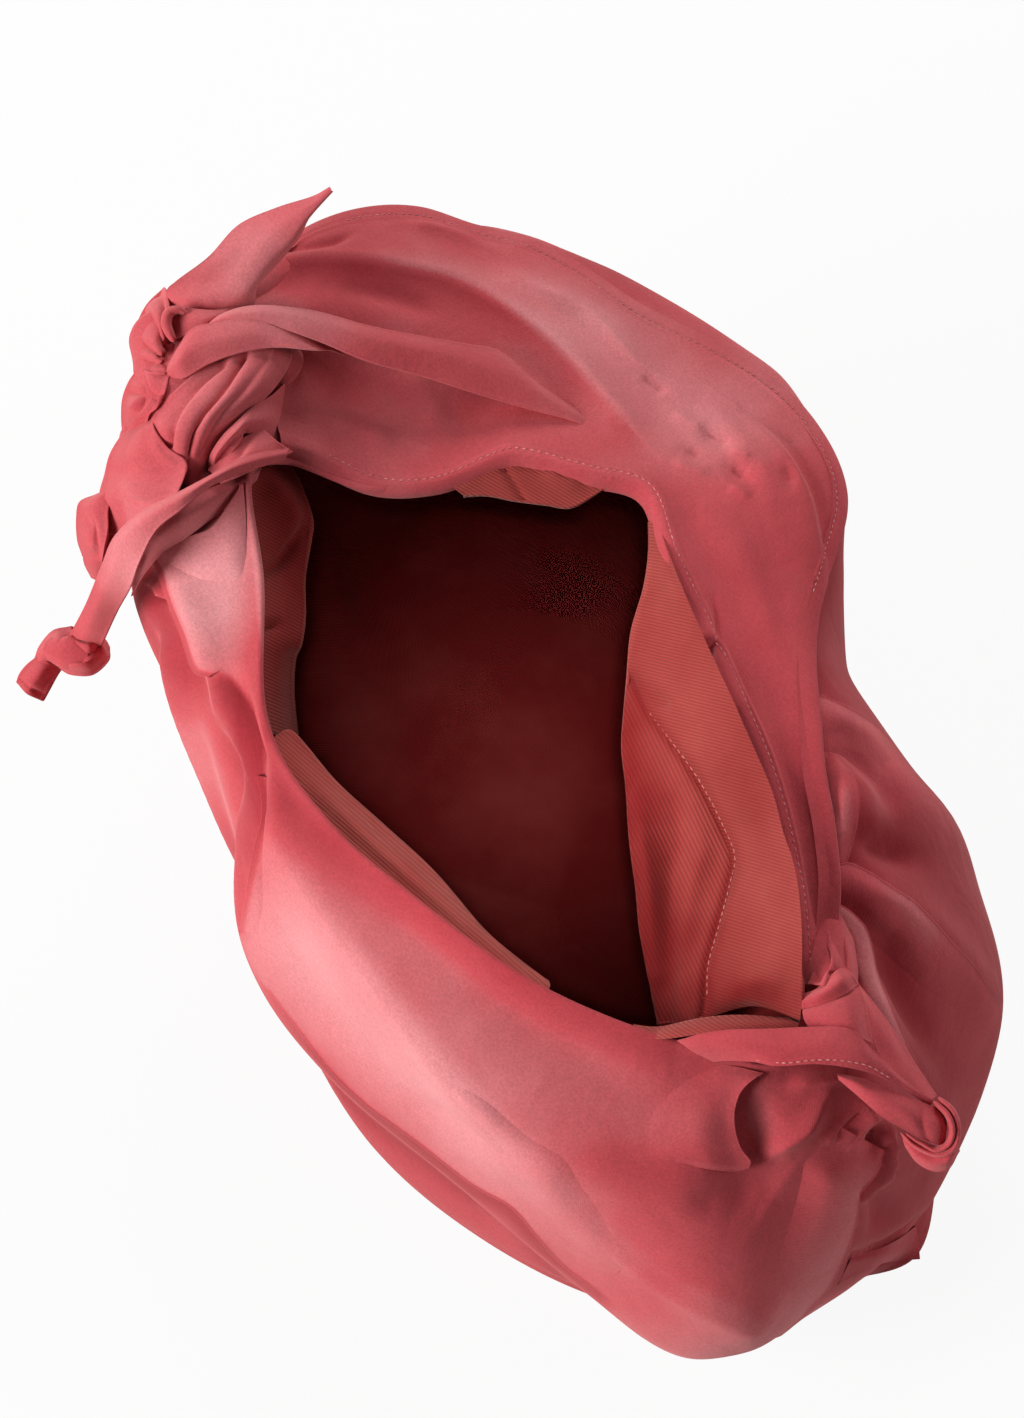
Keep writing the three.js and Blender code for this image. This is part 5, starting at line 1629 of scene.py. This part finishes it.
patch(gather, GATHER_BACK, rows=50, columns=40, tuck=(5, 6, 4, 5), edge=0.2)
GATHER_LOOP = [
    [(801, 995, 187), (802, 1001, 190), (802, 1009, 189)],
    [(818, 988, 191), (820, 995, 195), (823, 1004, 193)],
    [(836, 971, 192), (841, 981, 196), (846, 994, 193)],
    [(845, 967, 187), (853, 975, 190), (859, 984, 187)],
]
patch(gather, GATHER_LOOP, rows=44, columns=40, tuck=(4, 4, 4, 6), edge=0.18)
GATHER_WRAP = [
    [(804, 1006, 187), (826, 997, 191), (844, 990, 191), (857, 981, 186)],
    [(803, 1012, 190), (826, 1006, 194), (847, 1002, 194), (864, 997, 188)],
    [(805, 1021, 192), (829, 1018, 196), (852, 1018, 196), (869, 1021, 189)],
    [(814, 1033, 192), (835, 1033, 196), (856, 1036, 195), (873, 1044, 188)],
]
patch(gather, GATHER_WRAP, rows=50, columns=60, tuck=(5, 6, 5, 5), edge=0.16)
GATHER_TAIL = [
    [(859, 984, 178), (861, 994, 182), (863, 1006, 183)],
    [(878, 1008, 178), (874, 1018, 183), (869, 1030, 185)],
    [(895, 1032, 176), (890, 1043, 181), (878, 1052, 183)],
    [(913, 1060, 172), (906, 1071, 177), (897, 1078, 180)],
    [(937, 1096, 167), (930, 1101, 171), (923, 1103, 172)],
]
patch(gather, GATHER_TAIL, rows=50, columns=40, tuck=(8, 4, 5, 3), edge=0.16)
right_knot = make_piece("right_knot", gather, rose, "right_knot")

# The right tie: two flat layers, rolled up together at their end
right = Shape()
TIE_UPPER = [
    [(655, 1040, 160), (668, 1048, 160), (684, 1058, 158)],
    [(675, 1041, 178), (690, 1051, 176), (706, 1062, 170)],
    [(702, 1034, 187), (713, 1045, 186), (728, 1061, 180)],
    [(726, 1030, 191), (738, 1044, 192), (753, 1062, 187)],
    [(767, 1029, 195), (772, 1046, 196), (777, 1066, 193)],
    [(815, 1027, 198), (815, 1044, 199), (815, 1064, 196)],
    [(840, 1027, 198), (843, 1046, 199), (845, 1067, 196)],
    [(855, 1032, 197), (862, 1052, 197), (870, 1073, 193)],
    [(874, 1051, 193), (881, 1065, 192), (889, 1081, 189)],
    [(901, 1077, 186), (904, 1084, 186), (908, 1092, 183)],
    [(935, 1102, 177), (932, 1104, 177), (929, 1107, 175)],
]
upper_tie = patch(right, TIE_UPPER, rows=100, columns=44, tuck=(1.8, 1.8, 3, 2), edge=0.06, back=1.6)
TIE_LOWER = [
    [(838, 1074, 185), (838, 1076, 186), (839, 1080, 184)],
    [(856, 1077, 187), (856, 1084, 189), (860, 1098, 185)],
    [(877, 1083, 187), (878, 1096, 188), (881, 1116, 183)],
    [(900, 1094, 184), (902, 1109, 185), (905, 1130, 179)],
    [(923, 1103, 180), (923, 1120, 181), (926, 1141, 175)],
    [(939, 1109, 176), (941, 1123, 178), (939, 1145, 172)],
    [(946, 1116, 173), (947, 1127, 174), (945, 1142, 170)],
]
TIE_LOWER_CREASES = [
    ([(920, 1106), (922, 1121), (927, 1139)], -1.2, 4, 4, 0.6, 0.6, 1.4),
]
patch(
    right, TIE_LOWER, rows=80, columns=44, tuck=(2, 2, 2, 2), edge=0.07, back=1.6,
    folds=TIE_LOWER_CREASES,
)
# The inner and the outer turn of the roll, and its underside
INNER_TURN = [
    (933, 1101, 178), (947, 1114, 178), (952, 1129, 175), (948, 1143, 171), (936, 1149, 168),
    (920, 1142, 167), (905, 1133, 168),
]
OUTER_TURN = [
    (938, 1097, 177), (952, 1111, 177), (957, 1129, 173), (952, 1148, 169), (936, 1153, 166),
    (915, 1145, 165), (900, 1132, 167),
]
roll(right, INNER_TURN, half_widths=[1.0, 1.3, 1.3, 1.3, 1.2, 1.1, 0.8], half_height=4)
roll(right, OUTER_TURN, half_widths=[1.0, 1.4, 1.5, 1.5, 1.4, 1.2, 0.8], half_height=5)
ROLL_UNDERSIDE = [
    [(903, 1138, 164), (904, 1142, 163), (906, 1148, 158)],
    [(915, 1148, 164), (915, 1154, 163), (916, 1162, 157)],
    [(933, 1155, 164), (932, 1163, 163), (932, 1171, 157)],
    [(948, 1153, 166), (948, 1161, 165), (948, 1170, 158)],
    [(957, 1141, 169), (958, 1145, 168), (960, 1151, 162)],
]
patch(right, ROLL_UNDERSIDE, rows=50, columns=36, tuck=(3, 4, 3, 3), edge=0.14, back=3)
right_tie = make_piece("right_tie", right, rose, "right_tie")
TIE_HEM = [(755, 1060), (785, 1063), (815, 1060), (844, 1061), (868, 1066), (888, 1077)]
tie_thread = Shape()
drawn_stitches(tie_thread, upper_tie, TIE_HEM, points=100, pitch=2.8, length=2.0, radius=0.28)
tie_stitching = make_piece("tie_stitching", tie_thread, thread)

# Floor, backdrop and light, in metres: half the floor's side, how much of the floor shows as plain white,
# how bright the backdrop is as a light, and what the lights face
FLOOR_HALF = 6
FLOOR_WHITE = 0.92
BACKDROP_LIGHT = 0.06
LIT_MIDDLE = (0, 0, 0.1)


def straight_rays(nodes):
    """1 for rays that come straight from the camera or by way of a gloss or a clear thing, else 0."""
    path = nodes.add("ShaderNodeLightPath").outputs
    gloss = nodes.add(
        "ShaderNodeMath", {0: path["Is Camera Ray"], 1: path["Is Glossy Ray"]}, operation="MAXIMUM",
    )
    return nodes.add(
        "ShaderNodeMath", {0: gloss.outputs[0], 1: path["Is Transmission Ray"]}, operation="MAXIMUM",
    ).outputs[0]


floor_nodes = Nodes(bpy.data.materials.new("white_studio_floor"))
# A few broad clouds of tone over the whole floor
tone = floor_nodes.add("ShaderNodeTexNoise", None, {"Scale": 3.0, "Detail": 2.0})
paper = floor_nodes.add(
    "ShaderNodeValToRGB", {"Fac": tone.outputs["Fac"]}, stops=[(0.3, "#d8d8d8"), (0.7, "#dedede")],
)
matt = floor_nodes.add("ShaderNodeBsdfDiffuse", {"Color": paper.outputs["Color"]})
glow = floor_nodes.add("ShaderNodeEmission", None, {"Color": (1, 1, 1, 1), "Strength": 1.0})
seen = floor_nodes.add(
    "ShaderNodeMath", {0: straight_rays(floor_nodes)}, {1: FLOOR_WHITE}, operation="MULTIPLY",
)
blend = floor_nodes.add("ShaderNodeMixShader", {0: seen.outputs[0], 1: matt.outputs[0], 2: glow.outputs[0]})
floor_nodes.add("ShaderNodeOutputMaterial", {"Surface": blend.outputs[0]})
floor_mesh = bpy.data.meshes.new("floor")
corners = [(x * FLOOR_HALF, y * FLOOR_HALF, 0) for x, y in ((-1, -1), (1, -1), (1, 1), (-1, 1))]
floor_mesh.from_pydata(corners, [], [(0, 1, 2, 3)])
floor_mesh.materials.append(floor_nodes.owner)
floor = bpy.data.objects.new("floor", floor_mesh)
scene.collection.objects.link(floor)

scene.world = bpy.data.worlds.new("studio")
world_nodes = Nodes(scene.world)
level = world_nodes.add(
    "ShaderNodeMapRange", {"Value": straight_rays(world_nodes)}, {3: BACKDROP_LIGHT, 4: 1.0},
)
sky = world_nodes.add("ShaderNodeBackground", {"Strength": level.outputs[0]}, {"Color": (1, 1, 1, 1)})
world_nodes.add("ShaderNodeOutputWorld", {"Surface": sky.outputs[0]})


def softbox(name, place, aim, size, power, spread=180):
    """A square soft light in metres, turned to face a point; spread is the width of its beam in degrees."""
    data = bpy.data.lights.new(name, "AREA")
    data.shape = "SQUARE"
    data.size = size
    data.energy = power
    data.spread = math.radians(spread)
    lamp = bpy.data.objects.new(name, data)
    back = unit(np.array(place, float) - np.array(aim, float))
    side = unit(np.cross([0, 0, 1], back))
    over = np.cross(back, side)
    lamp.matrix_world = Matrix([[side[i], over[i], back[i], place[i]] for i in range(3)] + [[0, 0, 0, 1]])
    scene.collection.objects.link(lamp)


softbox("key_light", (-0.2, -2.08, 1.15), LIT_MIDDLE, size=1.1, power=68)
softbox("far_light", (-1.55, 0.9, 1.4), LIT_MIDDLE, size=1.2, power=33)
softbox("right_light", (1.05, 1.85, 1.0), LIT_MIDDLE, size=1.3, power=15)
softbox("mouth_light", (0.66, -0.4, 1.55), (-0.03, 0.0, 0.1), size=0.1, power=0.036, spread=8)
scene.view_settings.view_transform = "Standard"
